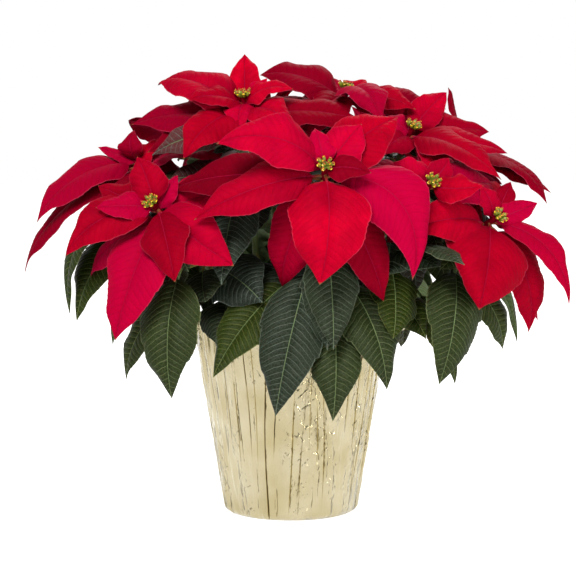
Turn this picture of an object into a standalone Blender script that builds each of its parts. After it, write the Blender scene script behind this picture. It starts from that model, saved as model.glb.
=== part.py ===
"""A potted poinsettia: three branched plants in a plastic grower pot, dressed in a pleated gold pot cover.

Metres, +Z up. The origin is the middle of the foot; +X is the viewer's right, +Y is away from the viewer.
Tables below are in millimetres, read by eye from the front of the real plant.
"""

import math
import random
from collections import namedtuple

import bmesh
import bpy
from mathutils import Matrix, Vector
from mathutils.bvhtree import BVHTree

MM = 0.001
GOLDEN_ANGLE = 137.5
SEAT = 0.3 * MM  # the gap between solids that touch

# Pot cover: thin metallised film, pressed over the pot, with a ruffled skirt at the top
FOOT_RADIUS = 52 * MM
COVER_BOTTOM_RADIUS = 59.5 * MM
COVER_CORNER_HEIGHT = 8 * MM
COVER_TAPER = 0.17  # gain of radius for each unit of height
COVER_NECK_HEIGHT = 146 * MM
COVER_RIM_HEIGHT = 172 * MM
COVER_WALL = 0.9 * MM
COVER_PLEATS = 22
PLEAT_DEPTH = 1.1 * MM
SKIRT_FLARE = 14 * MM
SKIRT_SWING = 15 * MM  # the skirt flares more on the right than on the left
RUFFLE_DEPTH = 3.5 * MM
RUFFLE_COUNT = 9

# Grower pot and potting mix
POT_CLEARANCE = 3.4 * MM  # from the cover's mean outer face to the pot's outer face
POT_HEIGHT = 141 * MM
POT_WALL = 1.8 * MM
POT_SIDES = 20
DRAIN_HOLES = 5
DRAIN_RADIUS = 5 * MM
DRAIN_CIRCLE = 34 * MM
MIX_HEIGHT = 130 * MM
MIX_SIDES = 20
MIX_ROUGHNESS = 1.6 * MM

# Stems
TRUNK_RADIUS = 5.5 * MM
TRUNK_SIDES = 8
TRUNK_FOOT_HEIGHT = 92 * MM
FORK_HEIGHT = 168 * MM
STEM_RADIUS = 2.9 * MM
STEM_POINTS = 6
STEM_SIDES = 5

# Bloom: a red shoot tip that carries the bracts, with the small true flowers on top
TIP_LENGTH = 26 * MM
TIP_RADIUS = 2.8 * MM
TIP_SIDES = 5
BRACT_SPACING = 1.5 * MM
FIRST_BRACT_DEPTH = 5 * MM
CYATHIA = 4
CYATHIUM_RADIUS = 2.0 * MM
CYATHIUM_HEIGHT = 4.8 * MM
CYATHIUM_LEAN = 0.3
CYATHIA_CIRCLE = 3.6 * MM
NECK_RADIUS = 2.3 * MM
NECK_TOP_RADIUS = 3.6 * MM
NECK_HEIGHT = 2.2 * MM

# Blade of a leaf or bract, along its midrib: a stalk, a broad shoulder and a drawn-out tip
BLADE_HALF_THICKNESS = 0.45 * MM
STALK_HALF_THICKNESS = 0.8 * MM
STALK_HALF_WIDTH = 1.3 * MM
ROW_SHARES = (0.0, 0.19, 0.43, 0.73)  # rows of vertices, as shares of the blade after its stalk
SMALL_ROW_SHARES = (0.0, 0.3, 0.68)
SMALL_BLADE = 92 * MM  # a blade shorter than this has fewer rows
WIDEST = 0.4
BASE_POWER = 0.65
TIP_POWER = 1.2
FOLD = 0.34
CURL = 0.44
WAVE = 2.2 * MM
LOBE = 0.12
BRACT_STALK = 0.1
LEAF_STALK = 0.27
BRACT_BOW = 0.17
LEAF_BOW = 0.2
SWAY = 0.05
LIGHT = (0, -1, 0.25)  # what shows from the front turns its upper side towards the light there
BRACT_LEAN = 0.6
LEAF_FACE = (0.45, -1, 0.5)
CLEAR_HALF_THICKNESS = 1.0 * MM  # of the thicker stand-in that keeps blades apart
CLEAR_MARGIN = 0.7 * MM  # and wider by this on each side
STEM_CLEARANCE = 0.9 * MM
LOWEST_BLADE = 50 * MM  # no blade hangs below this height

# How a blade may be bent from its place to clear its neighbours, least first: its turn and lift in degrees,
# and how much more or less it arches
TURNS = (0, 6, -6, 12, -12, 20, -20, 30, -30, 42, -42)
LIFTS = (0, 5, -5, 10, -10, 16, -16, 24, -24, 34, -34)
ARCHES = (1.0, 0.4, 1.7, 2.5)
BENDS = sorted(
    ((turn, lift, arch) for turn in TURNS for lift in LIFTS for arch in ARCHES),
    key=lambda bend: bend[0] ** 2 + 0.5 * bend[1] ** 2 + 40 * (bend[2] - 1) ** 2,
)

PLANTS = {"left": (-27, -6), "right": (27, -14), "back": (3, 30)}

# facing: the way the flower looks. tips: each bract's tip from the flower (right, back, up), its width, and
# for some how far the midrib strays to one side, as a share of its length.
# ring: how many more bracts grow round the flower by the golden angle, their reach and their first angle.
Bloom = namedtuple("Bloom", "name plant centre facing tips ring")
BLOOMS = (
    Bloom("front_centre", "right", (28, -130, 311), (0.05, -0.80, 0.60), (
        (-8, 15, 32, 24), (36, -14, -3, 24), (24, 4, 40, 42), (-5, -28, -95, 68, -0.06),
        (-89, -20, 19, 44, 0.14), (62, 38, 43, 50), (-108, 0, -44, 42, 0.02), (72, 2, -94, 56, -0.3),
        (-35, 46, -104, 44), (50, 32, -115, 46), (-132, 38, -16, 46),
    ), (0, 0, 0)),
    Bloom("front_left", "left", (-116, -100, 279), (-0.45, -0.65, 0.62), (
        (-15, 0, 39, 33), (-46, -6, 7, 28), (69, -30, -50, 50), (23, -38, -66, 42), (-48, 20, 16, 32),
        (22, 16, 22, 22), (-74, -8, -40, 42, 0.12), (64, 24, 10, 42), (-31, -15, -114, 58),
    ), (2, 90, 70)),
    Bloom("right_middle", "right", (118, -90, 296), (0.35, -0.75, 0.56), (
        (43, -12, -2, 28, 0.1), (-34, 8, 16, 30), (16, 16, 20, 24), (-36, 24, -52, 38),
    ), (2, 95, 20)),
    Bloom("right_upper", "right", (106, -15, 340), (0.35, -0.35, 0.87), (
        (33, 32, 34, 30), (-26, -5, 8, 24), (4, -46, -46, 28, -0.25), (-28, -34, -20, 34),
        (75, -34, -44, 46, 0.06), (70, 30, -4, 40), (83, 14, -28, 40),
    ), (2, 95, 150)),
    Bloom("right_low", "right", (176, -60, 265), (0.65, -0.55, 0.50), (
        (-16, 6, 26, 24), (18, 14, 32, 24), (34, 22, 14, 22), (-18, -38, -76, 84), (62, -5, -76, 28, -0.17),
        (30, 20, -102, 44, -0.08),
    ), (3, 95, 30)),
    Bloom("left_upper", "left", (-136, -5, 316), (-0.45, -0.10, 0.88), (
        (2, 6, 22, 24), (24, -6, 12, 24), (-34, 4, 7, 16), (-85, -26, -58, 54, 0.09),
        (-101, 14, -106, 42, -0.04), (48, -14, -27, 40),
    ), (3, 100, 60)),
    Bloom("top_right", "back", (48, 15, 374), (0.15, -0.10, 0.98), (
        (19, 15, 12, 22), (-10, 18, 20, 24), (-23, -42, -26, 38), (61, -24, -23, 36), (-76, 24, 12, 48, -0.02),
        (30, -62, -30, 42), (90, 5, -18, 42), (-44, -46, -46, 44),
    ), (1, 100, 60)),
    Bloom("top_left", "left", (-41, -38, 367), (-0.10, -0.25, 0.96), (
        (15, 2, 21, 20), (-4, -30, -28, 26), (-47, -22, -2, 28), (43, -12, 7, 26), (12, -42, -36, 32),
        (0, 30, 40, 30), (44, -26, -22, 38), (-50, -44, -52, 42), (-30, 26, 20, 36), (-76, 40, 10, 52),
        (-98, 16, -24, 46, 0.04), (104, -6, -15, 44), (-81, 2, -53, 40),
    ), (0, 0, 0)),
    Bloom("top_back", "back", (-28, 78, 357), (-0.10, 0.35, 0.93), (), (9, 98, 15)),
    Bloom("right_back", "back", (150, 55, 316), (0.60, 0.30, 0.74), (
        (87, -15, -28, 36, -0.1), (77, -47, -44, 52, -0.1), (-4, -28, 60, 38),
    ), (6, 108, 60)),
    Bloom("back_right", "back", (86, 128, 322), (0.38, 0.62, 0.68), (), (9, 108, 40)),
    Bloom("back_left", "left", (-104, 100, 326), (-0.50, 0.48, 0.72), (), (8, 108, 100)),
    Bloom("back_low", "back", (-2, 176, 280), (-0.02, 0.84, 0.54), (), (8, 105, 160)),
)

# Green leaves that show from the front: the stem each grows on, its place along it, its tip, width and bow
Leaf = namedtuple("Leaf", "stem place tip width bow")
LEAVES = (
    Leaf("top_left", 0.80, (-60, -132, 222), 50, 0.15),
    Leaf("right_middle", 0.55, (142, -144, 242), 38, 0.10),
    Leaf("front_centre", 0.45, (-65, -122, 135), 50, 0.12),
    Leaf("front_left", 0.55, (-24, -104, 196), 54, 0.15),
    Leaf("front_left", 0.72, (-100, -108, 115), 54, 0.25),
    Leaf("front_centre", 0.62, (-13, -126, 103), 55, 0.16),
    Leaf("front_centre", 0.40, (33, -116, 92), 48, 0.20),
    Leaf("front_centre", 0.44, (80, -118, 124), 54, 0.20),
    Leaf("right_low", 0.80, (124, -108, 127), 54, 0.20),
    Leaf("right_middle", 0.62, (88, -124, 174), 42, 0.12),
    Leaf("front_centre", 0.80, (22, -136, 160), 44, 0.10),
    Leaf("front_centre", 0.52, (27, -104, 142), 40, 0.15),
    Leaf("left_upper", 0.80, (-189, -62, 183), 50, 0.20),
    Leaf("front_left", 0.60, (-143, -62, 176), 48, 0.20),
    Leaf("front_left", 0.48, (-143, -45, 122), 36, 0.30),
    Leaf("front_centre", 0.48, (-40, -98, 167), 46, 0.15),
    Leaf("front_left", 0.36, (-62, -96, 159), 46, 0.25),
    Leaf("right_low", 0.70, (186, -20, 146), 40, 0.25),
    Leaf("right_low", 0.50, (142, -50, 119), 34, 0.25),
    Leaf("top_left", 0.92, (-120, -20, 312), 30, 0.15),
    Leaf("right_middle", 0.90, (186, -58, 284), 33, 0.12),
    Leaf("top_right", 0.93, (-4, -50, 324), 46, 0.10),
    Leaf("right_middle", 0.70, (84, -92, 222), 50, 0.15),
    Leaf("front_centre", 0.86, (57, -88, 214), 50, 0.12),
    Leaf("top_left", 0.72, (-106, -40, 296), 39, 0.20),
    Leaf("top_left", 0.82, (-48, -75, 308), 38, 0.20),
    Leaf("right_middle", 0.36, (115, -80, 162), 42, 0.20),
    Leaf("front_centre", 0.74, (5, -96, 192), 34, 0.12),
    Leaf("top_right", 0.74, (33, -68, 261), 44, 0.20),
    Leaf("top_back", 0.93, (-46, 12, 316), 50, 0.10),
    Leaf("top_back", 0.86, (22, 22, 304), 50, 0.10),
    Leaf("top_left", 0.62, (-78, -62, 258), 46, 0.15),
    Leaf("right_upper", 0.80, (76, -66, 276), 42, 0.15),
    Leaf("right_upper", 0.66, (130, -62, 198), 50, 0.15),
    Leaf("right_low", 0.86, (168, -92, 200), 40, 0.15),
    Leaf("left_upper", 0.62, (-92, -62, 165), 46, 0.15),
    Leaf("right_middle", 0.60, (125, -95, 205), 46, 0.05),
    Leaf("front_left", 0.60, (-72, -100, 196), 46, 0.05),
)
# More leaves on each stem by the golden angle: how many, and the first angle
MORE_LEAVES = {
    "left_upper": (2, 205), "back_left": (4, 20), "top_back": (2, 80),
    "right_back": (4, 350), "back_right": (4, 60), "back_low": (4, 100),
}
MORE_LEAF_REACH = 118
MORE_LEAF_WIDTH = 48
FIRST_LEAF_PLACE = 0.42
LAST_LEAF_PLACE = 0.92

# One blade: where it starts and ends, the way its upper side looks, and its shape
Blade = namedtuple("Blade", "root tip face half_width bow sway stalk twist phase lobe")


def metres(point):
    return Vector(point) * MM


def material(name, colour, roughness, metallic=0.0):
    made = bpy.data.materials.new(name)
    made.use_nodes = True
    shader = made.node_tree.nodes["Principled BSDF"]
    shader.inputs["Base Color"].default_value = (*colour, 1)
    shader.inputs["Roughness"].default_value = roughness
    shader.inputs["Metallic"].default_value = metallic
    return made


def object_from(bm, name, look=None):
    """A new object that holds this bmesh, with its faces turned outwards."""
    bmesh.ops.recalc_face_normals(bm, faces=bm.faces)
    mesh = bpy.data.meshes.new(name)
    bm.to_mesh(mesh)
    bm.free()
    made = bpy.data.objects.new(name, mesh)
    bpy.context.scene.collection.objects.link(made)
    if look:
        mesh.materials.append(look)
    return made


def bake_modifiers(obj):
    """Applies the object's modifiers."""
    graph = bpy.context.evaluated_depsgraph_get()
    mesh = bpy.data.meshes.new_from_object(obj.evaluated_get(graph))
    old = obj.data
    obj.modifiers.clear()
    obj.data = mesh
    bpy.data.meshes.remove(old)


def keep_largest_shell(obj):
    """Fills the pockets that a union sealed in, and drops loose scrap: only the largest shell stays."""
    bm = bmesh.new()
    bm.from_mesh(obj.data)
    left = set(bm.faces)
    shells = []
    while left:
        front = [left.pop()]
        shell = set(front)
        while front:
            beside = {f for edge in front.pop().edges for f in edge.link_faces} & left
            left -= beside
            shell |= beside
            front.extend(beside)
        shells.append(shell)
    shells.sort(key=len)
    bmesh.ops.delete(bm, geom=[f for shell in shells[:-1] for f in shell], context="FACES")
    bm.to_mesh(obj.data)
    bm.free()


def fuse(base, pieces):
    """Joins the pieces to the base as one solid, by one Boolean union on a collection, and removes them."""
    group = bpy.data.collections.new(base.name + "_pieces")
    bpy.context.scene.collection.children.link(group)
    for piece in pieces:
        bpy.context.scene.collection.objects.unlink(piece)
        group.objects.link(piece)
    union = base.modifiers.new("Union", "BOOLEAN")
    union.operation = "UNION"
    union.operand_type = "COLLECTION"
    union.collection = group
    union.solver = "MANIFOLD"
    bake_modifiers(base)
    keep_largest_shell(base)
    for piece in pieces:
        bpy.data.objects.remove(piece)
    bpy.data.collections.remove(group)


def cut(obj, tool_bm):
    """Cuts the tool's closed shapes out of the object."""
    tool = object_from(tool_bm, obj.name + "_tool")
    difference = obj.modifiers.new("Cut", "BOOLEAN")
    difference.operation = "DIFFERENCE"
    difference.object = tool
    bake_modifiers(obj)
    bpy.data.objects.remove(tool)


# Blade geometry


def blade_frame(blade):
    """Along the chord, across it, and up from it on the blade's upper side."""
    chord = blade.tip - blade.root
    side = chord.cross(blade.face).normalized()
    return chord, side, side.cross(chord).normalized()


def midrib(blade, t):
    """The midrib's point and direction at share t of its length: an arch from the root to the tip."""
    chord, side, up = blade_frame(blade)
    rise = (up * blade.bow + side * blade.sway) * chord.length
    knots = (
        blade.root,
        blade.root + chord * 0.28 + rise * 1.3,
        blade.root + chord * 0.76 + rise * 1.1,
        blade.tip,
    )
    s = 1 - t
    point = knots[0] * s**3 + knots[1] * 3 * s * s * t + knots[2] * 3 * s * t * t + knots[3] * t**3
    slope = (
        (knots[1] - knots[0]) * s * s + (knots[2] - knots[1]) * 2 * s * t + (knots[3] - knots[2]) * t * t
    )
    return point, slope.normalized()


def half_width(blade, t, hand):
    """Half the blade's width at t, on one hand: a narrow stalk, then ovate with one or two shallow lobes."""
    s = (t - blade.stalk) / (1 - blade.stalk)
    if s <= 0:
        return STALK_HALF_WIDTH
    outline = (s / WIDEST) ** BASE_POWER * ((1 - s) / (1 - WIDEST)) ** TIP_POWER
    lobes = 1 + blade.lobe * math.cos(2 * math.pi * (s * 2.3 + 0.5 * blade.phase * hand)) * (s * (1 - s) * 4)
    return max(blade.half_width * outline * lobes, STALK_HALF_WIDTH * (1 - s))


def blade_point(blade, t, u, lift, margin):
    """A point at t along and u across the blade (-1 to 1), raised by lift along its upper side.

    The margin widens the blade on both sides.
    """
    point, ahead = midrib(blade, t)
    _, side, _ = blade_frame(blade)
    side = Matrix.Rotation(blade.twist * max(0.0, t - blade.stalk), 3, ahead) @ side
    up = side.cross(ahead).normalized()
    width = half_width(blade, t, 1 if u > 0 else -1)
    wave = WAVE * math.sin(2 * math.pi * (2.1 * t + blade.phase) + u) * u * u * min(1.0, width / (12 * MM))
    height = width * (FOLD * abs(u) - CURL * u * u) + wave
    if t <= blade.stalk:
        height = 0.0
    return point + side * ((width + margin) * u) + up * (height + lift)


def blade_rows(blade):
    """The shares of the length at which the blade has its rows of vertices, from root to tip."""
    small = (blade.tip - blade.root).length < SMALL_BLADE
    shares = SMALL_ROW_SHARES if small else ROW_SHARES
    return [0.0] + [blade.stalk + (1 - blade.stalk) * s for s in shares] + [1.0]


def blade_bmesh(blade, half_thickness, stalk_half_thickness, first_row=0, margin=0.0):
    """A closed blade: a grid of three columns along the midrib, given its thickness and drawn to one tip vertex.

    Both faces have triangles alike. The stalk has no middle column.
    """
    rows = blade_rows(blade)[first_row:]
    bm = bmesh.new()
    across = bm.verts.layers.float.new("across")
    along = bm.verts.layers.float.new("along")
    level = bm.verts.layers.float.new("level")
    bmesh.ops.create_grid(bm, x_segments=2, y_segments=len(rows) - 1, size=1)
    for vert in bm.verts:
        vert[across] = round(vert.co.x)
        vert[along] = rows[round((vert.co.y + 1) / 2 * (len(rows) - 1))]
        vert[level] = -1
    bmesh.ops.triangulate(bm, faces=bm.faces)
    lifted = bmesh.ops.extrude_face_region(bm, geom=bm.faces[:])["geom"]
    for item in lifted:
        if isinstance(item, bmesh.types.BMVert):
            item[level] = 1
    for vert in bm.verts:
        t = vert[along]
        thick = stalk_half_thickness if t <= blade.stalk else half_thickness
        if t < 1.0:
            vert.co = blade_point(blade, t, vert[across], vert[level] * thick, margin)
    tips = [v for v in bm.verts if v[along] == 1.0]
    bmesh.ops.pointmerge(bm, verts=tips, merge_co=blade.tip + midrib(blade, 1.0)[1] * margin)
    middles = [v for v in bm.verts if v[along] <= blade.stalk and v[across] == 0]
    for middle in middles:
        place = (1, middle[along], middle[level])
        edge = next(v for v in bm.verts if (v[across], v[along], v[level]) == place)
        bmesh.ops.pointmerge(bm, verts=[middle, edge], merge_co=edge.co)
    bmesh.ops.triangulate(bm, faces=[f for f in bm.faces if len(f.verts) > 3])
    return bm


def bent(blade, bend):
    """The blade turned about its upper side's direction and lifted from it, about its root, and arched."""
    chord, side, _ = blade_frame(blade)
    turn = Matrix.Rotation(math.radians(bend[0]), 3, blade.face)
    lift = Matrix.Rotation(math.radians(bend[1]), 3, side)
    return blade._replace(tip=blade.root + turn @ lift @ chord, bow=blade.bow * bend[2])


# Keeping blades clear of each other

Placed = namedtuple("Placed", "owner low high tree")


def stand_in(bm, owner):
    """What the clearance test knows of a shape: its owner, its box and a search tree of its faces."""
    bm.verts.ensure_lookup_table()
    low = Vector([min(v.co[i] for v in bm.verts) for i in range(3)])
    high = Vector([max(v.co[i] for v in bm.verts) for i in range(3)])
    return Placed(owner, low, high, BVHTree.FromBMesh(bm))


def meet(a, b):
    apart = any(a.low[i] > b.high[i] or b.low[i] > a.high[i] for i in range(3))
    return not apart and bool(a.tree.overlap(b.tree))


def blade_stand_ins(blade, owner):
    """The whole blade, and the blade without its stalk and base, each thicker than life."""
    made = []
    for first_row in (0, 2):
        bm = blade_bmesh(
            blade, CLEAR_HALF_THICKNESS, STALK_HALF_THICKNESS + STEM_CLEARANCE / 2, first_row, CLEAR_MARGIN
        )
        made.append(stand_in(bm, owner))
        bm.free()
    return made


class Thicket:
    """Everything placed so far. A new blade is bent until it clears all of it."""

    def __init__(self):
        self.solids = []
        self.blades = []

    def add_solid(self, bm, owner):
        self.solids.append(stand_in(bm, owner))

    def is_clear(self, whole, outer):
        for solid in self.solids:
            if meet(outer if solid.owner == whole.owner else whole, solid):
                return False
        for other_whole, other_outer in self.blades:
            if other_whole.owner == whole.owner:
                if meet(outer, other_outer):
                    return False
            elif meet(whole, other_whole):
                return False
        return True

    def place(self, blade, owner):
        """The blade, bent as little as needed, or None where nothing is free."""
        for bend in BENDS:
            trial = bent(blade, bend)
            whole, outer = blade_stand_ins(trial, owner)
            if whole.low.z > LOWEST_BLADE and self.is_clear(whole, outer):
                self.blades.append((whole, outer))
                return trial
        return None


# Pot cover, grower pot and potting mix


def cover_radius(height):
    return COVER_BOTTOM_RADIUS + COVER_TAPER * (height - COVER_CORNER_HEIGHT)


def skirt(angle, share):
    """How far the skirt stands out beyond the neck, and how high, at this share of its height."""
    ruffle = math.sin(RUFFLE_COUNT * angle + 0.8 * math.sin(2 * angle))
    out = SKIRT_FLARE + SKIRT_SWING * math.cos(angle) + RUFFLE_DEPTH * ruffle
    ragged = 3 * MM * math.sin(5 * angle + 1) + 2.5 * MM * math.sin(11 * angle)
    rise = (COVER_RIM_HEIGHT - COVER_NECK_HEIGHT) * share + ragged * share
    return out * share**1.5, rise


def pot_cover(look):
    """Rings from the middle of the foot, up the outside to the rim, and down the inside."""
    sides = 2 * COVER_PLEATS
    neck = cover_radius(COVER_NECK_HEIGHT)
    middle = 0.5 * COVER_NECK_HEIGHT
    rings = []
    for inside in (0, 1):
        inset = COVER_WALL * inside
        levels = [
            (lambda a, i=inset: (FOOT_RADIUS - 0.5 * i, i), 0.0),
            (lambda a, i=inset: (COVER_BOTTOM_RADIUS - i, COVER_CORNER_HEIGHT), 0.6),
            (lambda a, i=inset: (cover_radius(middle) - i, middle), 1.0),
            (lambda a, i=inset: (neck - i, COVER_NECK_HEIGHT), 1.0),
            (lambda a, i=inset: (neck - i + skirt(a, 0.5)[0], COVER_NECK_HEIGHT + skirt(a, 0.5)[1]), 1.0),
            (lambda a, i=inset: (neck - i + skirt(a, 1.0)[0], COVER_NECK_HEIGHT + skirt(a, 1.0)[1]), 1.0),
        ]
        rings += levels if not inside else levels[::-1]
    bm = bmesh.new()
    loops = []
    for place, pleat in rings:
        loop = []
        for k in range(sides):
            angle = 2 * math.pi * k / sides
            radius, height = place(angle)
            radius += PLEAT_DEPTH * pleat * (1 if k % 2 else -1)
            loop.append(bm.verts.new((radius * math.cos(angle), radius * math.sin(angle), height)))
        loops.append([bm.edges.new((loop[k - 1], loop[k])) for k in range(sides)])
    for below, above in zip(loops, loops[1:]):
        bmesh.ops.bridge_loops(bm, edges=below + above)
    bmesh.ops.contextual_create(bm, geom=loops[0])
    bmesh.ops.contextual_create(bm, geom=loops[-1])
    bmesh.ops.triangulate(bm, faces=bm.faces)
    return object_from(bm, "pot_cover", look)


def turned(profile, sides):
    """A closed solid of revolution about Z, from its (radius, height) profile, axis to axis."""
    bm = bmesh.new()
    verts = [bm.verts.new((r, 0, z)) for r, z in profile]
    edges = [bm.edges.new(pair) for pair in zip(verts, verts[1:])]
    bmesh.ops.spin(
        bm, geom=verts + edges, axis=(0, 0, 1), cent=(0, 0, 0), angle=2 * math.pi, steps=sides, use_merge=True
    )
    bmesh.ops.remove_doubles(bm, verts=bm.verts, dist=0.01 * MM)
    return bm


def pot_radius(height):
    return cover_radius(height) - POT_CLEARANCE


def grower_pot(look):
    """A tapered plastic pot with a rounded foot and drain holes."""
    foot = COVER_WALL + SEAT
    corner = foot + COVER_CORNER_HEIGHT
    floor = foot + POT_WALL
    bm = turned(
        [
            (0, foot),
            (FOOT_RADIUS - POT_CLEARANCE, foot),
            (pot_radius(corner), corner),
            (pot_radius(POT_HEIGHT), POT_HEIGHT),
            (pot_radius(POT_HEIGHT) - POT_WALL, POT_HEIGHT),
            (pot_radius(corner) - POT_WALL, corner),
            (FOOT_RADIUS - POT_CLEARANCE - POT_WALL / 2, floor),
            (0, floor),
        ],
        POT_SIDES,
    )
    pot = object_from(bm, "grower_pot", look)
    drills = bmesh.new()
    for k in range(DRAIN_HOLES):
        angle = 2 * math.pi * k / DRAIN_HOLES
        place = Matrix.Translation((DRAIN_CIRCLE * math.cos(angle), DRAIN_CIRCLE * math.sin(angle), floor))
        bmesh.ops.create_cone(
            drills, cap_ends=True, segments=8, radius1=DRAIN_RADIUS, radius2=DRAIN_RADIUS,
            depth=4 * POT_WALL, matrix=place,
        )
    cut(pot, drills)
    return pot


def potting_mix(look):
    """Fills the pot to below its rim, slightly uneven on top, with a hole for each trunk."""
    random.seed(4)
    foot = COVER_WALL + 2 * SEAT + POT_WALL
    corner = COVER_WALL + SEAT + COVER_CORNER_HEIGHT
    gap = POT_WALL + 2 * SEAT
    bm = turned(
        [
            (0, foot),
            (FOOT_RADIUS - POT_CLEARANCE - gap, foot),
            (pot_radius(corner) - gap - SEAT, corner + SEAT),
            (pot_radius(MIX_HEIGHT) - gap, MIX_HEIGHT),
            (pot_radius(MIX_HEIGHT) * 0.72, MIX_HEIGHT + MM),
            (pot_radius(MIX_HEIGHT) * 0.4, MIX_HEIGHT + 2 * MM),
            (0, MIX_HEIGHT + 3 * MM),
        ],
        MIX_SIDES,
    )
    for vert in bm.verts:
        inner = Vector(vert.co.xy).length < pot_radius(MIX_HEIGHT) * 0.8
        if inner and vert.co.z > MIX_HEIGHT:
            vert.co.z += random.uniform(-MIX_ROUGHNESS, MIX_ROUGHNESS)
    mix = object_from(bm, "potting_mix", look)
    drills = bmesh.new()
    for x, y in PLANTS.values():
        depth = MIX_HEIGHT + 10 * MM - (TRUNK_FOOT_HEIGHT - SEAT)
        place = Matrix.Translation((x * MM, y * MM, TRUNK_FOOT_HEIGHT - SEAT + depth / 2))
        bmesh.ops.create_cone(
            drills, cap_ends=True, segments=TRUNK_SIDES, radius1=TRUNK_RADIUS + 1.5 * SEAT,
            radius2=TRUNK_RADIUS + 1.5 * SEAT, depth=depth, matrix=place,
        )
    cut(mix, drills)
    return mix


# Stems


def stem_curve(bloom):
    """Points from inside the trunk's fork up to just under the bloom's red shoot tip."""
    x, y = PLANTS[bloom.plant]
    facing = Vector(bloom.facing).normalized()
    start = Vector((x * MM, y * MM, FORK_HEIGHT - 6 * MM))
    end = metres(bloom.centre) - facing * (TIP_LENGTH + SEAT)
    reach = (end - start).length
    outward = Vector((end.x - start.x, end.y - start.y, 0))
    first = start + Vector((0, 0, 0.22 * reach)) + outward * 0.25
    last = end - facing * 0.30 * reach
    points = []
    for k in range(STEM_POINTS):
        t = k / (STEM_POINTS - 1)
        s = 1 - t
        points.append(start * s**3 + first * 3 * s * s * t + last * 3 * s * t * t + end * t**3)
    return points


def tube(points, radius, sides, facing):
    """A tube through the points. Its last end is flat and square to the facing."""
    bm = bmesh.new()
    side = (points[1] - points[0]).orthogonal().normalized()
    loops = []
    for k, point in enumerate(points):
        ahead = facing if k == len(points) - 1 else (points[k + 1] - points[max(k - 1, 0)]).normalized()
        side = (side - ahead * side.dot(ahead)).normalized()
        other = ahead.cross(side)
        loop = []
        for j in range(sides):
            angle = 2 * math.pi * j / sides
            loop.append(bm.verts.new(point + (side * math.cos(angle) + other * math.sin(angle)) * radius))
        loops.append([bm.edges.new((loop[j - 1], loop[j])) for j in range(sides)])
    for below, above in zip(loops, loops[1:]):
        bmesh.ops.bridge_loops(bm, edges=below + above)
    bmesh.ops.contextual_create(bm, geom=loops[0])
    bmesh.ops.contextual_create(bm, geom=loops[-1])
    return bm


def stem(bloom, margin=0.0):
    """The green stem under one bloom."""
    return tube(stem_curve(bloom), STEM_RADIUS + margin, STEM_SIDES, Vector(bloom.facing).normalized())


def trunk(plant):
    """The woody foot of one plant: straight through the potting mix, a little thinner at the fork."""
    x, y = PLANTS[plant]
    bm = bmesh.new()
    height = FORK_HEIGHT - TRUNK_FOOT_HEIGHT
    place = Matrix.Translation((x * MM, y * MM, TRUNK_FOOT_HEIGHT + height / 2))
    bmesh.ops.create_cone(
        bm, cap_ends=True, segments=TRUNK_SIDES, radius1=TRUNK_RADIUS, radius2=TRUNK_RADIUS * 0.95,
        depth=height, matrix=place,
    )
    return bm


def along_stem(points, place):
    """The point and direction at this share of the stem."""
    whole = place * (len(points) - 1)
    k = min(int(whole), len(points) - 2)
    step = points[k + 1] - points[k]
    return points[k] + step * (whole - k), step.normalized()


# Bracts, leaves and flowers


def around(facing):
    """Two directions square to the facing: level, and uphill."""
    level = Vector((0, 0, 1)).cross(facing).normalized()
    return level, facing.cross(level)


def ring_tips(bloom):
    """Tips of the bracts that no list gives: small and steep inside, long and drooping outside."""
    count, reach, start = bloom.ring
    level, uphill = around(Vector(bloom.facing).normalized())
    tips = []
    for k in range(count):
        grown = (k + 2) / (count + 1) if count > 4 else 1.0
        angle = math.radians(start + GOLDEN_ANGLE * k)
        length = reach * (0.32 + 0.68 * grown)
        rise = math.radians(42 - 62 * grown)
        out = level * math.cos(angle) + uphill * math.sin(angle)
        tip = (out * math.cos(rise) + Vector(bloom.facing).normalized() * math.sin(rise)) * length
        tip.z -= 0.14 * length * grown
        tips.append((*tip, length * 0.46))
    return tips


def bracts_of(bloom, rng):
    """The blades of one bloom, the innermost first. Each starts on the axis of the red shoot tip."""
    facing = Vector(bloom.facing).normalized()
    centre = metres(bloom.centre)
    blades = []
    shown = len(bloom.tips)
    for k, tip in enumerate(list(bloom.tips) + ring_tips(bloom)):
        depth = FIRST_BRACT_DEPTH + BRACT_SPACING * k
        x, y, z, width, *sway = tip
        blades.append(
            Blade(
                root=centre - facing * depth,
                tip=centre + metres((x, y, z)),
                face=(facing + Vector(LIGHT) * (BRACT_LEAN if k < shown else 0)).normalized(),
                half_width=width * MM / 2,
                bow=BRACT_BOW * rng.uniform(0.8, 1.2),
                sway=sway[0] if sway else SWAY * rng.uniform(-1, 1),
                stalk=BRACT_STALK,
                twist=rng.uniform(-0.35, 0.35),
                phase=rng.random(),
                lobe=LOBE * rng.random(),
            )
        )
    return blades


def leaf_blade(root, tip, face, width, bow, rng):
    return Blade(
        root=root, tip=tip, face=face.normalized(), half_width=width * MM / 2, bow=bow,
        sway=SWAY * rng.uniform(-1, 1), stalk=LEAF_STALK, twist=rng.uniform(-0.3, 0.3), phase=rng.random(),
        lobe=LOBE * rng.random(),
    )


def listed_leaves(stems, rng):
    """The leaves that show from the front, each with the bloom whose stem it grows on."""
    blades = []
    for leaf in LEAVES:
        root, _ = along_stem(stems[leaf.stem], leaf.place)
        tip = metres(leaf.tip)
        face = Vector(LEAF_FACE)
        face.x *= tip.x / (100 * MM)
        blades.append((leaf.stem, leaf_blade(root, tip, face, leaf.width, leaf.bow, rng)))
    return blades


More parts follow.
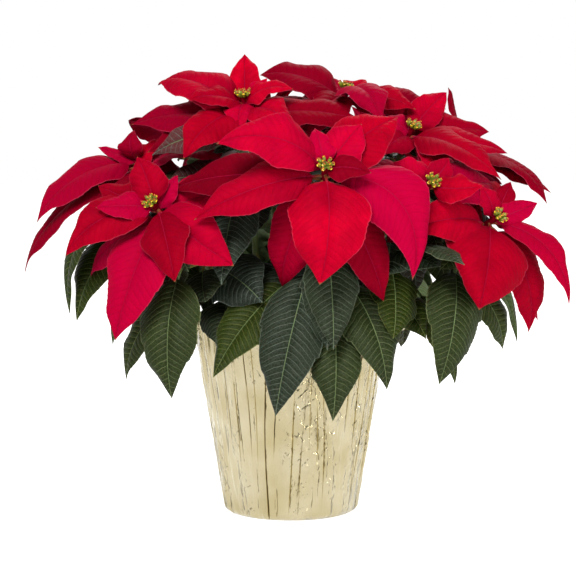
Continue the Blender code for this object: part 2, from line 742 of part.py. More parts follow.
def more_leaves(stems, rng):
    """The other leaves, spaced up each stem and turned by the golden angle."""
    blades = []
    for name, (count, start) in MORE_LEAVES.items():
        for k in range(count):
            place = FIRST_LEAF_PLACE + (LAST_LEAF_PLACE - FIRST_LEAF_PLACE) * (k + 0.5) / count
            root, ahead = along_stem(stems[name], place)
            level, uphill = around(ahead)
            angle = math.radians(start + GOLDEN_ANGLE * k)
            out = level * math.cos(angle) + uphill * math.sin(angle)
            away = Vector((root.x, root.y, 0)).normalized()
            tip = root + (out * 0.55 + away * 0.55 - Vector((0, 0, 0.62))) * MORE_LEAF_REACH * MM
            face = Vector((tip.x, tip.y, 0)).normalized() + Vector((0, 0, 0.9))
            blades.append((name, leaf_blade(root, tip, face, MORE_LEAF_WIDTH, LEAF_BOW, rng)))
    return blades


def shoot_tip(bloom):
    """The red top of the stem, up to the flowers."""
    facing = Vector(bloom.facing).normalized()
    centre = metres(bloom.centre)
    return tube([centre - facing * TIP_LENGTH, centre], TIP_RADIUS, TIP_SIDES, facing)


def cyathia(bloom, look):
    """The true flowers: a short neck that carries a ring of cups round one in the middle."""
    facing = Vector(bloom.facing).normalized()
    turn = facing.to_track_quat("Z", "X").to_matrix().to_4x4()
    foot = Matrix.Translation(metres(bloom.centre) + facing * SEAT) @ turn
    neck = bmesh.new()
    bmesh.ops.create_cone(
        neck, cap_ends=True, segments=5, radius1=NECK_RADIUS, radius2=NECK_TOP_RADIUS, depth=NECK_HEIGHT,
        matrix=foot @ Matrix.Translation((0, 0, NECK_HEIGHT / 2)),
    )
    base = object_from(neck, "cyathia_" + bloom.name, look)
    cups = []
    for k in range(CYATHIA + 1):
        angle = 2 * math.pi * k / CYATHIA
        ring = CYATHIA_CIRCLE if k < CYATHIA else 0.0
        lean = Matrix.Rotation(CYATHIUM_LEAN if ring else 0.0, 4, (-math.sin(angle), math.cos(angle), 0))
        spot = Matrix.Translation((ring * math.cos(angle), ring * math.sin(angle), NECK_HEIGHT - MM))
        bm = bmesh.new()
        bmesh.ops.create_cone(
            bm, cap_ends=True, segments=4, radius1=CYATHIUM_RADIUS * 0.7, radius2=CYATHIUM_RADIUS,
            depth=CYATHIUM_HEIGHT,
            matrix=foot @ spot @ lean @ Matrix.Translation((0, 0, CYATHIUM_HEIGHT / 2 - 0.4 * MM)),
        )
        cups.append(object_from(bm, "cup"))
    fuse(base, cups)
    return base


def main():
    for obj in list(bpy.data.objects):
        bpy.data.objects.remove(obj)
    gold = material("metallised_film", (0.72, 0.62, 0.38), 0.35, 0.8)
    plastic = material("pot_plastic", (0.10, 0.16, 0.09), 0.5)
    peat = material("potting_mix", (0.06, 0.04, 0.025), 0.95)
    red = material("red_bract", (0.62, 0.005, 0.03), 0.55)
    green = material("green_leaf", (0.035, 0.075, 0.03), 0.5)
    yellow = material("cyathium", (0.55, 0.55, 0.08), 0.5)

    fixed = [pot_cover(gold), grower_pot(plastic), potting_mix(peat)]
    fixed += [cyathia(bloom, yellow) for bloom in BLOOMS]
    thicket = Thicket()
    for obj in fixed:
        bm = bmesh.new()
        bm.from_mesh(obj.data)
        thicket.add_solid(bm, obj.name)
        bm.free()

    stems = {bloom.name: stem_curve(bloom) for bloom in BLOOMS}
    for bloom in BLOOMS:
        for bm, owner in (
            (stem(bloom, STEM_CLEARANCE), "plant_" + bloom.plant),
            (shoot_tip(bloom), "bracts_" + bloom.name),
        ):
            thicket.add_solid(bm, owner)
            bm.free()

    rng = random.Random(11)
    pieces = {}
    wanted = [("bracts_" + b.name, blade) for b in BLOOMS for blade in bracts_of(b, rng)]
    plant_of = {b.name: "plant_" + b.plant for b in BLOOMS}
    wanted += [(plant_of[name], blade) for name, blade in listed_leaves(stems, rng) + more_leaves(stems, rng)]
    for owner, blade in wanted:
        placed = thicket.place(blade, owner)
        if placed:
            bm = blade_bmesh(placed, BLADE_HALF_THICKNESS, STALK_HALF_THICKNESS)
            pieces.setdefault(owner, []).append(object_from(bm, "blade"))

    for bloom in BLOOMS:
        name = "bracts_" + bloom.name
        fuse(object_from(shoot_tip(bloom), name, red), pieces[name])
    for plant in PLANTS:
        name = "plant_" + plant
        stalks = [object_from(stem(bloom), "stem") for bloom in BLOOMS if bloom.plant == plant]
        fuse(object_from(trunk(plant), name, green), stalks + pieces[name])


main()
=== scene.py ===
"""Finishes the potted poinsettia: fine leaves, bracts and flowers, the gold pot cover, pot and potting mix.

Metres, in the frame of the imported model. The plant's own tables are in millimetres, as its source has them.
"""

import math
import random
from collections import namedtuple

import bmesh
import bpy
from mathutils import Matrix, Vector, noise
from mathutils.kdtree import KDTree


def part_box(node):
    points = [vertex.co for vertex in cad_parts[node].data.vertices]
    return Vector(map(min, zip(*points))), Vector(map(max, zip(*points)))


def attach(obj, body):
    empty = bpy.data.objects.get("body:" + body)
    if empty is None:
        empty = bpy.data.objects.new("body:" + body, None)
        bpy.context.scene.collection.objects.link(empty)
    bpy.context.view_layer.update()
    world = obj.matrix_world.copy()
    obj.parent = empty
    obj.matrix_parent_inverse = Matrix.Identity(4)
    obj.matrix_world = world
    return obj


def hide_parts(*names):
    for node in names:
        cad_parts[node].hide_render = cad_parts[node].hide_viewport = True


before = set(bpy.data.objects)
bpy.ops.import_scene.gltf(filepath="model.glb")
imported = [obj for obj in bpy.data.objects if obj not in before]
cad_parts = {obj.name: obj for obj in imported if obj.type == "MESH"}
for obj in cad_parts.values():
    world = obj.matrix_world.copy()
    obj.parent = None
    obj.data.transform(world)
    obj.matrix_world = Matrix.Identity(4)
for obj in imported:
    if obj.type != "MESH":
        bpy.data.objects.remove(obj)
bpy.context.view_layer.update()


# Grower pot: the tapered pot of injection-moulded polypropylene that the plants were grown in.
# It stands inside the gold cover, with a rolled rim, a rounded foot and drain holes.

MM = 0.001
POT_STEPS = 96
POT_WALL = 1.8 * MM
POT_LIP = 1.2 * MM
POT_LIP_HEIGHT = 7 * MM
POT_STEP = 1.5 * MM  # how far the middle of the floor stands up
POT_CORNER_STEPS = 5
POT_LIP_STEPS = 6
DRAIN_HOLES = 5
DRAIN_RADIUS = 5 * MM
DRAIN_CIRCLE = 34 * MM
DRILL_LENGTH = 12 * MM
POT_GREEN = "24301f"


def linear(hex_colour):
    """The linear colour of an sRGB hex value."""
    parts = [int(hex_colour[k:k + 2], 16) / 255 for k in (0, 2, 4)]
    return (*[p / 12.92 if p <= 0.04045 else ((p + 0.055) / 1.055) ** 2.4 for p in parts], 1)


def plug(tree, node, inputs):
    """Gives each input of the node its value, or links it where the value is another node's output."""
    for name, value in inputs.items():
        if isinstance(value, bpy.types.NodeSocket):
            tree.links.new(value, node.inputs[name])
        else:
            node.inputs[name].default_value = value


def add(tree, kind, settings, inputs):
    """The outputs of one new node with these settings and inputs."""
    node = tree.nodes.new("ShaderNode" + kind)
    for name, value in settings.items():
        setattr(node, name, value)
    plug(tree, node, inputs)
    return node.outputs


def layered(tree, colour, *layers):
    """The colour with others laid over it, each by its share of 0 to 1.

    A layer is (share, colour), with the two values between which the share grows where it isn't 0 to 1, and
    how much of the layer shows at each where that isn't none and all.
    """
    for share, over, *ends in layers:
        if ends:
            low, high, least, most = (*ends, 0, 1)[:4]
            limits = {"From Min": low, "From Max": high, "To Min": least, "To Max": most}
            share = add(tree, "MapRange", {}, {"Value": share, **limits})[0]
        under, over = (linear(hue) if isinstance(hue, str) else hue for hue in (colour, over))
        colour = add(tree, "Mix", {"data_type": "RGBA"}, {0: share, 6: under, 7: over})[2]
    return colour


def new_material(name, roughness, **values):
    """A material, its tree, its shader with these values on its own sockets, and Object coordinates."""
    made = bpy.data.materials.new(name)
    made.use_nodes = True
    tree = made.node_tree
    shader = tree.nodes["Principled BSDF"]
    names = {key: key.replace("_", " ").title().replace("Ior", "IOR") for key in values}
    plug(tree, shader, {"Roughness": roughness, **{names[key]: value for key, value in values.items()}})
    return made, tree, shader, add(tree, "TexCoord", {}, {})["Object"]


def meshed(bm, name):
    """A mesh from this bmesh, which is freed."""
    mesh = bpy.data.meshes.new(name)
    bm.to_mesh(mesh)
    bm.free()
    return mesh


def placed(name, data):
    """A new object in the scene."""
    made = bpy.data.objects.new(name, data)
    bpy.context.scene.collection.objects.link(made)
    return made


def piece(bm, name, looks, node, sharp=40):
    """A finished piece from this bmesh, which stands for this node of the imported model."""
    mesh = meshed(bm, name)
    mesh.shade_smooth()
    mesh.set_sharp_from_angle(angle=math.radians(sharp))
    for look in looks:
        mesh.materials.append(look)
    made = placed(name, mesh)
    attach(made, "root")
    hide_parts(node)
    return made


def turned(profile, steps):
    """A solid of revolution about Z. The layer level counts the points of its (radius, height) profile."""
    bm = bmesh.new()
    level = bm.verts.layers.int.new("level")
    verts = []
    for k, (radius, height) in enumerate(profile):
        verts.append(bm.verts.new((radius, 0, height)))
        verts[-1][level] = k
    edges = [bm.edges.new(pair) for pair in zip(verts, verts[1:])]
    bmesh.ops.spin(
        bm, geom=verts + edges, axis=(0, 0, 1), cent=(0, 0, 0), angle=2 * math.pi, steps=steps, use_merge=True
    )
    bmesh.ops.remove_doubles(bm, verts=bm.verts, dist=0.005 * MM)
    bmesh.ops.recalc_face_normals(bm, faces=bm.faces)
    return bm


pot_low, pot_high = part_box("grower_pot")
COVER_TAPER = 0.17
COVER_BOTTOM_RADIUS = 59.5 * MM
COVER_CORNER_HEIGHT = 8 * MM
FOOT_RADIUS = 52 * MM
POT_CLEARANCE = 3.4 * MM


def cover_radius(height):
    return COVER_BOTTOM_RADIUS + COVER_TAPER * (height - COVER_CORNER_HEIGHT)


def pot_radius(height):
    return cover_radius(height) - POT_CLEARANCE


foot = pot_low.z
rim = pot_high.z
shoulder = rim - POT_LIP_HEIGHT
wall_foot = foot + COVER_CORNER_HEIGHT
floor_radius = FOOT_RADIUS - POT_CLEARANCE
profile = [(0, foot + POT_STEP), (floor_radius * 0.55, foot + POT_STEP), (floor_radius * 0.62, foot)]
profile += [(floor_radius, foot)]
for k in range(1, POT_CORNER_STEPS + 1):
    turn = math.pi / 2 * k / POT_CORNER_STEPS
    rise = (wall_foot - foot) * (1 - math.cos(turn))
    profile.append((floor_radius + (pot_radius(wall_foot) - floor_radius) * math.sin(turn), foot + rise))
profile += [(pot_radius(shoulder) - POT_LIP, shoulder), (pot_radius(shoulder), shoulder + 0.6 * MM)]
for k in range(POT_LIP_STEPS + 1):
    turn = math.pi * k / POT_LIP_STEPS
    inward, down = POT_WALL / 2 * (1 - math.cos(turn)), POT_WALL / 2 * (1 - math.sin(turn))
    profile.append((pot_radius(rim) - inward, rim - down))
profile += [(pot_radius(shoulder) - POT_WALL - POT_LIP, shoulder - 2 * MM)]
inside = foot + POT_STEP + POT_WALL
profile += [(pot_radius(wall_foot) - POT_WALL, wall_foot), (floor_radius - POT_WALL / 2, inside), (0, inside)]
bm = turned(profile, POT_STEPS)

# Polypropylene from a mould: a dark green with a low gloss and a faint grain of 1 mm, and dust in patches.
moulded, tree, shader, coords = new_material("moulded_polypropylene", 0.42)
grain = add(tree, "TexNoise", {}, {"Vector": coords, "Scale": 900, "Detail": 3})["Fac"]
dust = add(tree, "TexNoise", {}, {"Vector": coords, "Scale": 60, "Detail": 4})["Fac"]
bump = add(tree, "Bump", {}, {"Height": grain, "Strength": 0.3, "Distance": 0.1 * MM})[0]
plug(tree, shader, {"Base Color": layered(tree, POT_GREEN, (dust, "3a4632")), "Normal": bump})
pot = piece(bm, "moulded_pot", [moulded], "grower_pot")
drills = bmesh.new()
for k in range(DRAIN_HOLES):
    angle = 2 * math.pi * k / DRAIN_HOLES
    place = Matrix.Translation((DRAIN_CIRCLE * math.cos(angle), DRAIN_CIRCLE * math.sin(angle), foot))
    bmesh.ops.create_cone(
        drills, cap_ends=True, segments=24, radius1=DRAIN_RADIUS, radius2=DRAIN_RADIUS, depth=DRILL_LENGTH,
        matrix=place,
    )
drill = placed("drain_drill", meshed(drills, "drain_drill"))
holes = pot.modifiers.new("Drain holes", "BOOLEAN")
holes.operation = "DIFFERENCE"
holes.object = drill
graph = bpy.context.evaluated_depsgraph_get()
drilled = bpy.data.meshes.new_from_object(pot.evaluated_get(graph))
pot.modifiers.clear()
pot.data = drilled
bpy.data.objects.remove(drill)


# Potting mix: dark peat with white grains of expanded perlite, loose and uneven on top.
# It fills the pot to a finger's breadth below the rim, and heaps a little round each stem.

MIX_RINGS = 34
PERLITE_GRAINS = 260
PERLITE_RADIUS = 1.5 * MM
MIX_STEPS = 110
MIX_EDGE = 130 * MM
MIX_GAP = 0.6 * MM  # between the mix and the pot, at the top
MIX_LOW_GAP = 3 * MM
MIX_RELIEF = 1.6 * MM
MIX_DOME = 3 * MM
HEAP = 1.6 * MM
HEAP_RADIUS = 9 * MM
PLANTS = {"left": (-27, -6), "right": (27, -14), "back": (3, 30)}

mix_low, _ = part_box("potting_mix")
mix_radius = pot_radius(MIX_EDGE) - POT_WALL - MIX_GAP


def mix_height(x, y):
    """The height of the mix's top at this place."""
    crumb = noise.fractal(Vector((x, y, 0.3)) * 160, 1.0, 2.0, 4) * MIX_RELIEF
    dome = MIX_DOME * (1 - (x * x + y * y) / mix_radius**2)
    off_stems = ((x - px * MM) ** 2 + (y - py * MM) ** 2 for px, py in PLANTS.values())
    heaps = sum(HEAP * math.exp(-off / HEAP_RADIUS**2) for off in off_stems)
    return MIX_EDGE + dome + heaps + crumb


profile = [(0, mix_low.z), (floor_radius - MIX_LOW_GAP, mix_low.z)]
profile += [(pot_radius(wall_foot) - MIX_LOW_GAP, wall_foot + 1 * MM), (mix_radius, MIX_EDGE - 2 * MM)]
profile += [(mix_radius * k / MIX_RINGS, MIX_EDGE) for k in range(MIX_RINGS, -1, -1)]
bm = turned(profile, MIX_STEPS)
for vert in bm.verts:
    if vert.co.z > MIX_EDGE - 1 * MM:
        vert.co.z = mix_height(vert.co.x, vert.co.y)

# Milled peat with bits of bark: quite dull, in crumbs of about 2 mm from black to mid brown.
peat, tree, shader, coords = new_material("peat_and_bark", 0.95)
crumbs = add(tree, "TexVoronoi", {}, {"Vector": coords, "Scale": 520})["Color"]
rough = add(tree, "TexNoise", {}, {"Vector": coords, "Scale": 700, "Detail": 5})["Fac"]
bump = add(tree, "Bump", {}, {"Height": rough, "Strength": 0.9, "Distance": 1 * MM})[0]
plug(tree, shader, {"Base Color": layered(tree, "1a110b", (crumbs, "4a3523")), "Normal": bump})
piece(bm, "peat_mix", [peat], "potting_mix")

rng = random.Random(3)
bm = bmesh.new()
for _ in range(PERLITE_GRAINS):
    angle = rng.uniform(0, 2 * math.pi)
    reach = mix_radius * 0.97 * math.sqrt(rng.random())
    x, y = reach * math.cos(angle), reach * math.sin(angle)
    size = PERLITE_RADIUS * rng.uniform(0.4, 1.0)
    shape = Matrix.Diagonal((1, rng.uniform(0.6, 1), rng.uniform(0.5, 0.9), 1))
    spin = Matrix.Rotation(rng.uniform(0, 6.28), 4, (rng.random(), rng.random(), 1))
    place = Matrix.Translation((x, y, mix_height(x, y) + size * 0.2)) @ spin @ shape
    bmesh.ops.create_icosphere(bm, subdivisions=1, radius=size, matrix=place)

# Expanded perlite: chalky off-white, stained by the peat in spots of about 3 mm.
perlite, tree, shader, coords = new_material("expanded_perlite", 0.9)
stain = add(tree, "TexNoise", {}, {"Vector": coords, "Scale": 300})["Fac"]
plug(tree, shader, {"Base Color": layered(tree, "a89a86", (stain, "e6e0d4"))})
piece(bm, "perlite_grains", [perlite], "potting_mix", sharp=20)


# Pot cover: pale gold metallised polypropylene film, pressed over the pot from a flat sheet.
# The spare film lies in sharp pleats down the wall, and stands out at the top as a ruffled skirt.

CREASES = 62
LAP = 2.4 * MM
GROOVE = (-1.0, -0.35, 0.0, 0.3, 1.0)  # columns across a crease, as shares of its half width
GROOVE_FALL = (0.0, 0.25, 1.0, 0.85, -0.35)  # how far the film drops there: the far lip of the fold stands up
FLAT_COLUMNS = 4
CREASE_DEPTHS = (0.15, 0.7), (1.4, 2.6)  # mm, of a weak crease and of a strong one
CREASE_WIDTHS = (0.4, 0.7), (0.6, 1.05)
STRONG_CREASES = 0.7  # the share of the creases that are strong, but for the smooth part of the wall
SMOOTH_AT = -1.4  # the angle round the pot where that part has its middle
SMOOTH_REACH = 0.45
COVER_NECK_HEIGHT = 146 * MM
COVER_RIM_HEIGHT = 172 * MM
FILM = 0.35 * MM
SKIRT_FLARE = 14 * MM
SKIRT_SWING = 15 * MM
RUFFLE_DEPTH = 3.5 * MM
RUFFLE_COUNT = 9
RAGGED = 3 * MM, 2.5 * MM  # how far the rim goes up and down, in 5 and in 11 waves
DENT = 1.9 * MM
RIPPLE = 0.8 * MM
CORNER_LEVELS = 6
WALL_LEVELS = 46
SKIRT_LEVELS = 14

Crease = namedtuple("Crease", "low high drift depth width lap top foot")


def group_lean(k):
    """How far the top of the k-th crease stands to one side, in creases. Neighbours lean alike."""
    around = 2 * math.pi * k / CREASES
    return 1.3 * math.sin(3 * around + 1.0) + 0.7 * math.sin(7 * around)


rng = random.Random(8)
creases = []
for k in range(CREASES):
    off_middle = math.remainder(2 * math.pi * k / CREASES - SMOOTH_AT, 2 * math.pi)
    strong = rng.random() < STRONG_CREASES - 0.9 * math.exp(-((off_middle / SMOOTH_REACH) ** 2))
    creases.append(
        Crease(
            low=2 * math.pi * (k + rng.uniform(-0.38, 0.38)) / CREASES,
            high=2 * math.pi * (k + rng.uniform(-0.38, 0.38) + group_lean(k)) / CREASES,
            drift=rng.uniform(0, 6.28),
            depth=rng.uniform(*CREASE_DEPTHS[strong]) * MM,
            width=rng.uniform(*CREASE_WIDTHS[strong]) * MM,
            lap=LAP * rng.uniform(-0.6, 1.0) * (1.0 if strong else 0.45),
            top=rng.choice((1.0, 1.0, 0.85, 0.62)) if strong else rng.uniform(0.3, 1.0),
            foot=rng.choice((-0.2, 0.05, 0.3, 0.45)) if strong else rng.uniform(-0.1, 0.6),
        )
    )
columns_each = len(GROOVE) + FLAT_COLUMNS
cover_columns = CREASES * columns_each


def crease_angle(crease, height):
    """Where the crease runs at this height: it leans, and wanders a little."""
    share = height / COVER_RIM_HEIGHT
    return crease.low + (crease.high - crease.low) * share + 0.012 * math.sin(7 * share + crease.drift)


def crease_strength(crease, height):
    """1 where the crease has its full depth, down to a trace past its ends and here and there between."""
    share = height / COVER_RIM_HEIGHT
    worn = 0.85 + 0.7 * noise.noise(Vector((crease.drift * 5, 0, height * 22)))
    above = min(1, max(0, (crease.top - share) / 0.12 + 1))
    below = min(1, max(0, (share - crease.foot) / 0.2))
    return 0.05 + 0.95 * above * below * min(1.0, max(0.1, worn))


def skirt(angle, share):
    """How far the skirt stands out beyond the neck, and how high, at this share of its height."""
    ruffle = math.sin(RUFFLE_COUNT * angle + 0.8 * math.sin(2 * angle))
    out = SKIRT_FLARE + SKIRT_SWING * math.cos(angle) + RUFFLE_DEPTH * ruffle
    ragged = RAGGED[0] * math.sin(5 * angle + 1) + RAGGED[1] * math.sin(11 * angle)
    rise = (COVER_RIM_HEIGHT - COVER_NECK_HEIGHT) * share + ragged * share
    return out * share**1.5, rise


def film_place(column, height):
    """The film's angle, its offset from the smooth wall and how deep in a crease it lies."""
    k, step = divmod(column, columns_each)
    here, after = creases[k], creases[(k + 1) % CREASES]
    angle = crease_angle(here, height)
    radius = max(cover_radius(height), FOOT_RADIUS)
    strength = crease_strength(here, height)
    half = here.width * (0.5 + 0.7 * strength)
    if step < len(GROOVE):
        drop = here.depth * (0.5 + 0.5 * strength) * strength * GROOVE_FALL[step]
        return angle + GROOVE[step] * half / radius, -drop, max(0.0, GROOVE_FALL[step]) * strength
    share = (step - len(GROOVE) + 1) / (FLAT_COLUMNS + 1)
    start = angle + half / radius
    next_strength = crease_strength(after, height)
    end = crease_angle(after, height) - after.width * (0.5 + 0.7 * next_strength) / radius
    if k == CREASES - 1:
        end += 2 * math.pi
    lip = 0.45 * here.depth * strength * (1 - share) ** 3
    tilt = here.lap * strength * (1 - share) ** 1.5 - after.lap * next_strength * share**3 * 0.5
    dent = noise.noise(Vector((k * 3.7, share * 1.3, height * 22))) * math.sin(math.pi * share)
    ripple = noise.noise(Vector((k * 1.9, share * 7, height * 60)))
    return start + (end - start) * share, lip + tilt + DENT * dent + RIPPLE * ripple, 0.0


levels = [(FOOT_RADIUS * share, 0.0, 0.0) for share in (0.0, 0.3, 0.6, 0.85, 0.97)]
for k in range(1, CORNER_LEVELS + 1):
    turn = math.pi / 2 * k / CORNER_LEVELS
    radius = FOOT_RADIUS + (COVER_BOTTOM_RADIUS - FOOT_RADIUS) * math.sin(turn)
    levels.append((radius, COVER_CORNER_HEIGHT * (1 - math.cos(turn)), 0.25 + 0.75 * k / CORNER_LEVELS))
for k in range(1, WALL_LEVELS + 1):
    height = COVER_CORNER_HEIGHT + (COVER_NECK_HEIGHT - COVER_CORNER_HEIGHT) * k / WALL_LEVELS
    levels.append((cover_radius(height), height, 1.0))
neck_level = len(levels) - 1
for k in range(1, SKIRT_LEVELS + 1):
    levels.append((cover_radius(COVER_NECK_HEIGHT) + k * MM, COVER_NECK_HEIGHT + k * MM, 1.0))

bm = turned([level[:2] for level in levels], cover_columns)
level_layer = bm.verts.layers.int["level"]
fold_layer = bm.verts.layers.float.new("fold")
for vert in bm.verts:
    level = vert[level_layer]
    column = round(math.atan2(vert.co.y, vert.co.x) / (2 * math.pi) * cover_columns) % cover_columns
    radius, height, relief = levels[level]
    if radius == 0:
        continue
    angle, offset, depth = film_place(column, height if level <= neck_level else COVER_NECK_HEIGHT)
    if level > neck_level:
        share = (level - neck_level) / SKIRT_LEVELS
        out, rise = skirt(angle, share)
        radius = cover_radius(COVER_NECK_HEIGHT) + out
        height = COVER_NECK_HEIGHT + rise
        offset *= 1 + 0.6 * share
    radius += offset * relief
    vert.co = (radius * math.cos(angle), radius * math.sin(angle), height)
    vert[fold_layer] = depth * relief

# Metallised film with a gold lacquer: a soft mirror, paler in patches of 30 mm that are a painted reflection
# of the room, with streaks 3 mm wide from its rolls. Down in the creases it is painted a deeper gold: painted
# shade over the double layer of folded film.
film, tree, shader, coords = new_material(
    "metallised_gold_film", 0.22, metallic=0.8, coat_weight=0.45, coat_roughness=0.12,
)
upright, tall = (add(tree, "Mapping", {}, {"Vector": coords, "Scale": (1, 1, z)})[0] for z in (0.08, 0.16))
streaks = add(tree, "TexNoise", {}, {"Vector": upright, "Scale": 300, "Detail": 3})["Fac"]
# paler patches of 30 mm: a painted reflection of the room in the film
broad = add(tree, "TexNoise", {}, {"Vector": coords, "Scale": 30, "Detail": 2})["Fac"]
both = add(tree, "Math", {"operation": "MULTIPLY_ADD"}, {0: streaks, 1: 0.15, 2: broad})[0]
# how deep in a crease: there the gold is painted deeper and browner, painted shade over the folded film
fold = add(tree, "Attribute", {"attribute_name": "fold"}, {})["Fac"]
gold = layered(tree, "9e9168", (both, "b2a98c", 0.3, 0.85), (fold, "7a661e", 0.02, 0.45))

# long soft waves in the sheet, about 20 mm apart
wave = add(tree, "TexNoise", {}, {"Vector": tall, "Scale": 45, "Detail": 1.5, "Distortion": 0.3})["Fac"]
sheet = add(tree, "Math", {"operation": "PINGPONG"}, {0: wave, 1: 1 / 12})[0]

# crinkles 5 mm apart that slant both ways, in patches: in the real film they are finer, too fine to show
patches = add(tree, "TexNoise", {}, {"Vector": tall, "Scale": 36, "Detail": 2})["Fac"]
patch = add(tree, "MapRange", {}, {"Value": patches, "From Min": 0.4, "From Max": 0.64})[0]
strokes = []
for slant in (0.7, -0.5):
    drawn_out = {"Vector": coords, "Rotation": (0, slant, 0), "Scale": (1, 1, 4)}
    way = add(tree, "Mapping", {"vector_type": "TEXTURE"}, drawn_out)[0]
    stroke = {"Vector": way, "Scale": 210, "Detail": 1.5, "Distortion": 0.5}
    strokes.append(add(tree, "TexNoise", {}, stroke)["Fac"])
crossed = add(tree, "Math", {"operation": "ADD"}, {0: strokes[0], 1: strokes[1]})[0]
crinkles = add(tree, "Math", {"operation": "MULTIPLY"}, {0: crossed, 1: patch})[0]

bump = add(tree, "Bump", {}, {"Height": sheet, "Strength": 0.7, "Distance": 7 * MM})[0]
for height, strength, depth in ((streaks, 0.08, 0.3 * MM), (crinkles, 0.6, 5 * MM)):
    pressed = {"Height": height, "Strength": strength, "Distance": depth, "Normal": bump}
    bump = add(tree, "Bump", {}, pressed)[0]
plug(tree, shader, {"Base Color": gold, "Normal": bump, "Coat Normal": bump})
cover = piece(bm, "gold_film_cover", [film], "pot_cover", sharp=60)
wall = cover.modifiers.new("Film", "SOLIDIFY")
wall.thickness = FILM
wall.offset = 1


# Stems: each plant's woody foot stands in the mix and forks into green stems, one under each bloom.
# They are round and pithy, with a scar and a slight swelling where each leaf has grown.

TRUNK_RADIUS = 5.5 * MM
TRUNK_SIDES = 20
TRUNK_RINGS = 16
TRUNK_FOOT_HEIGHT = 92 * MM
FORK_HEIGHT = 168 * MM
STEM_RADIUS = 2.9 * MM
STEM_POINTS = 6
STEM_SIDES = 14
STEM_RINGS = 60
LEAF_SCARS = 7  # swellings up a stem
SCAR_SWELL = 0.13
FORK_DEPTH = 6 * MM  # how far a stem starts inside the trunk
STEM_RISE = 0.22  # how steeply a stem starts, and how straight it ends in its bloom, as shares of its reach
STEM_END = 0.30
TIP_LENGTH = 26 * MM
SEAT = 0.3 * MM

# facing: the way the flower looks. tips: each bract's tip from the flower (right, back, up), its width, and
# for some how far the midrib strays to one side, as a share of its length.
# ring: how many more bracts grow round the flower by the golden angle, their reach and their first angle.
Bloom = namedtuple("Bloom", "name plant centre facing tips ring")


def metres(point):
    return Vector(point) * MM


BLOOMS = (
    Bloom("front_centre", "right", (28, -130, 311), (0.05, -0.80, 0.60), (
        (-8, 15, 32, 24), (36, -14, -3, 24), (24, 4, 40, 42), (-5, -28, -95, 68, -0.06),
        (-89, -20, 19, 44, 0.14), (62, 38, 43, 50), (-108, 0, -44, 42, 0.02), (72, 2, -94, 56, -0.3),
        (-35, 46, -104, 44), (50, 32, -115, 46), (-132, 38, -16, 46),
    ), (0, 0, 0)),
    Bloom("front_left", "left", (-116, -100, 279), (-0.45, -0.65, 0.62), (
        (-15, 0, 39, 33), (-46, -6, 7, 28), (69, -30, -50, 50), (23, -38, -66, 42), (-48, 20, 16, 32),
        (22, 16, 22, 22), (-74, -8, -40, 42, 0.12), (64, 24, 10, 42), (-31, -15, -114, 58),
    ), (2, 90, 70)),
    Bloom("right_middle", "right", (118, -90, 296), (0.35, -0.75, 0.56), (
        (43, -12, -2, 28, 0.1), (-34, 8, 16, 30), (16, 16, 20, 24), (-36, 24, -52, 38),
    ), (2, 95, 20)),
    Bloom("right_upper", "right", (106, -15, 340), (0.35, -0.35, 0.87), (
        (33, 32, 34, 30), (-26, -5, 8, 24), (4, -46, -46, 28, -0.25), (-28, -34, -20, 34),
        (75, -34, -44, 46, 0.06), (70, 30, -4, 40), (83, 14, -28, 40),
    ), (2, 95, 150)),
    Bloom("right_low", "right", (176, -60, 265), (0.65, -0.55, 0.50), (
        (-16, 6, 26, 24), (18, 14, 32, 24), (34, 22, 14, 22), (-18, -38, -76, 84), (62, -5, -76, 28, -0.17),
        (30, 20, -102, 44, -0.08),
    ), (3, 95, 30)),
    Bloom("left_upper", "left", (-136, -5, 316), (-0.45, -0.10, 0.88), (
        (2, 6, 22, 24), (24, -6, 12, 24), (-34, 4, 7, 16), (-85, -26, -58, 54, 0.09),
        (-101, 14, -106, 42, -0.04), (48, -14, -27, 40),
    ), (3, 100, 60)),
    Bloom("top_right", "back", (48, 15, 374), (0.15, -0.10, 0.98), (
        (19, 15, 12, 22), (-10, 18, 20, 24), (-23, -42, -26, 38), (61, -24, -23, 36),
        (-76, 24, 12, 48, -0.02), (30, -62, -30, 42), (90, 5, -18, 42), (-44, -46, -46, 44),
    ), (1, 100, 60)),
    Bloom("top_left", "left", (-41, -38, 367), (-0.10, -0.25, 0.96), (
        (15, 2, 21, 20), (-4, -30, -28, 26), (-47, -22, -2, 28), (43, -12, 7, 26), (12, -42, -36, 32),
        (0, 30, 40, 30), (44, -26, -22, 38), (-50, -44, -52, 42), (-30, 26, 20, 36), (-76, 40, 10, 52),
        (-98, 16, -24, 46, 0.04), (104, -6, -15, 44), (-81, 2, -53, 40),
    ), (0, 0, 0)),
    Bloom("top_back", "back", (-28, 78, 357), (-0.10, 0.35, 0.93), (), (9, 98, 15)),
    Bloom("right_back", "back", (150, 55, 316), (0.60, 0.30, 0.74), (
        (87, -15, -28, 36, -0.1), (77, -47, -44, 52, -0.1), (-4, -28, 60, 38),
    ), (6, 108, 60)),
    Bloom("back_right", "back", (86, 128, 322), (0.38, 0.62, 0.68), (), (9, 108, 40)),
    Bloom("back_left", "left", (-104, 100, 326), (-0.50, 0.48, 0.72), (), (8, 108, 100)),
    Bloom("back_low", "back", (-2, 176, 280), (-0.02, 0.84, 0.54), (), (8, 105, 160)),
)
BLOOMS = [b._replace(centre=metres(b.centre), facing=Vector(b.facing).normalized()) for b in BLOOMS]


def stem_knots(bloom):
    """The four knots of the stem's curve, from inside the fork to just under the red shoot tip."""
    x, y = PLANTS[bloom.plant]
    start = Vector((x * MM, y * MM, FORK_HEIGHT - FORK_DEPTH))
    end = bloom.centre - bloom.facing * (TIP_LENGTH + SEAT)
    reach = (end - start).length
    rise = Vector((0, 0, STEM_RISE * reach)) + Vector((end.x - start.x, end.y - start.y, 0)) * 0.25
    return start, start + rise, end - bloom.facing * STEM_END * reach, end


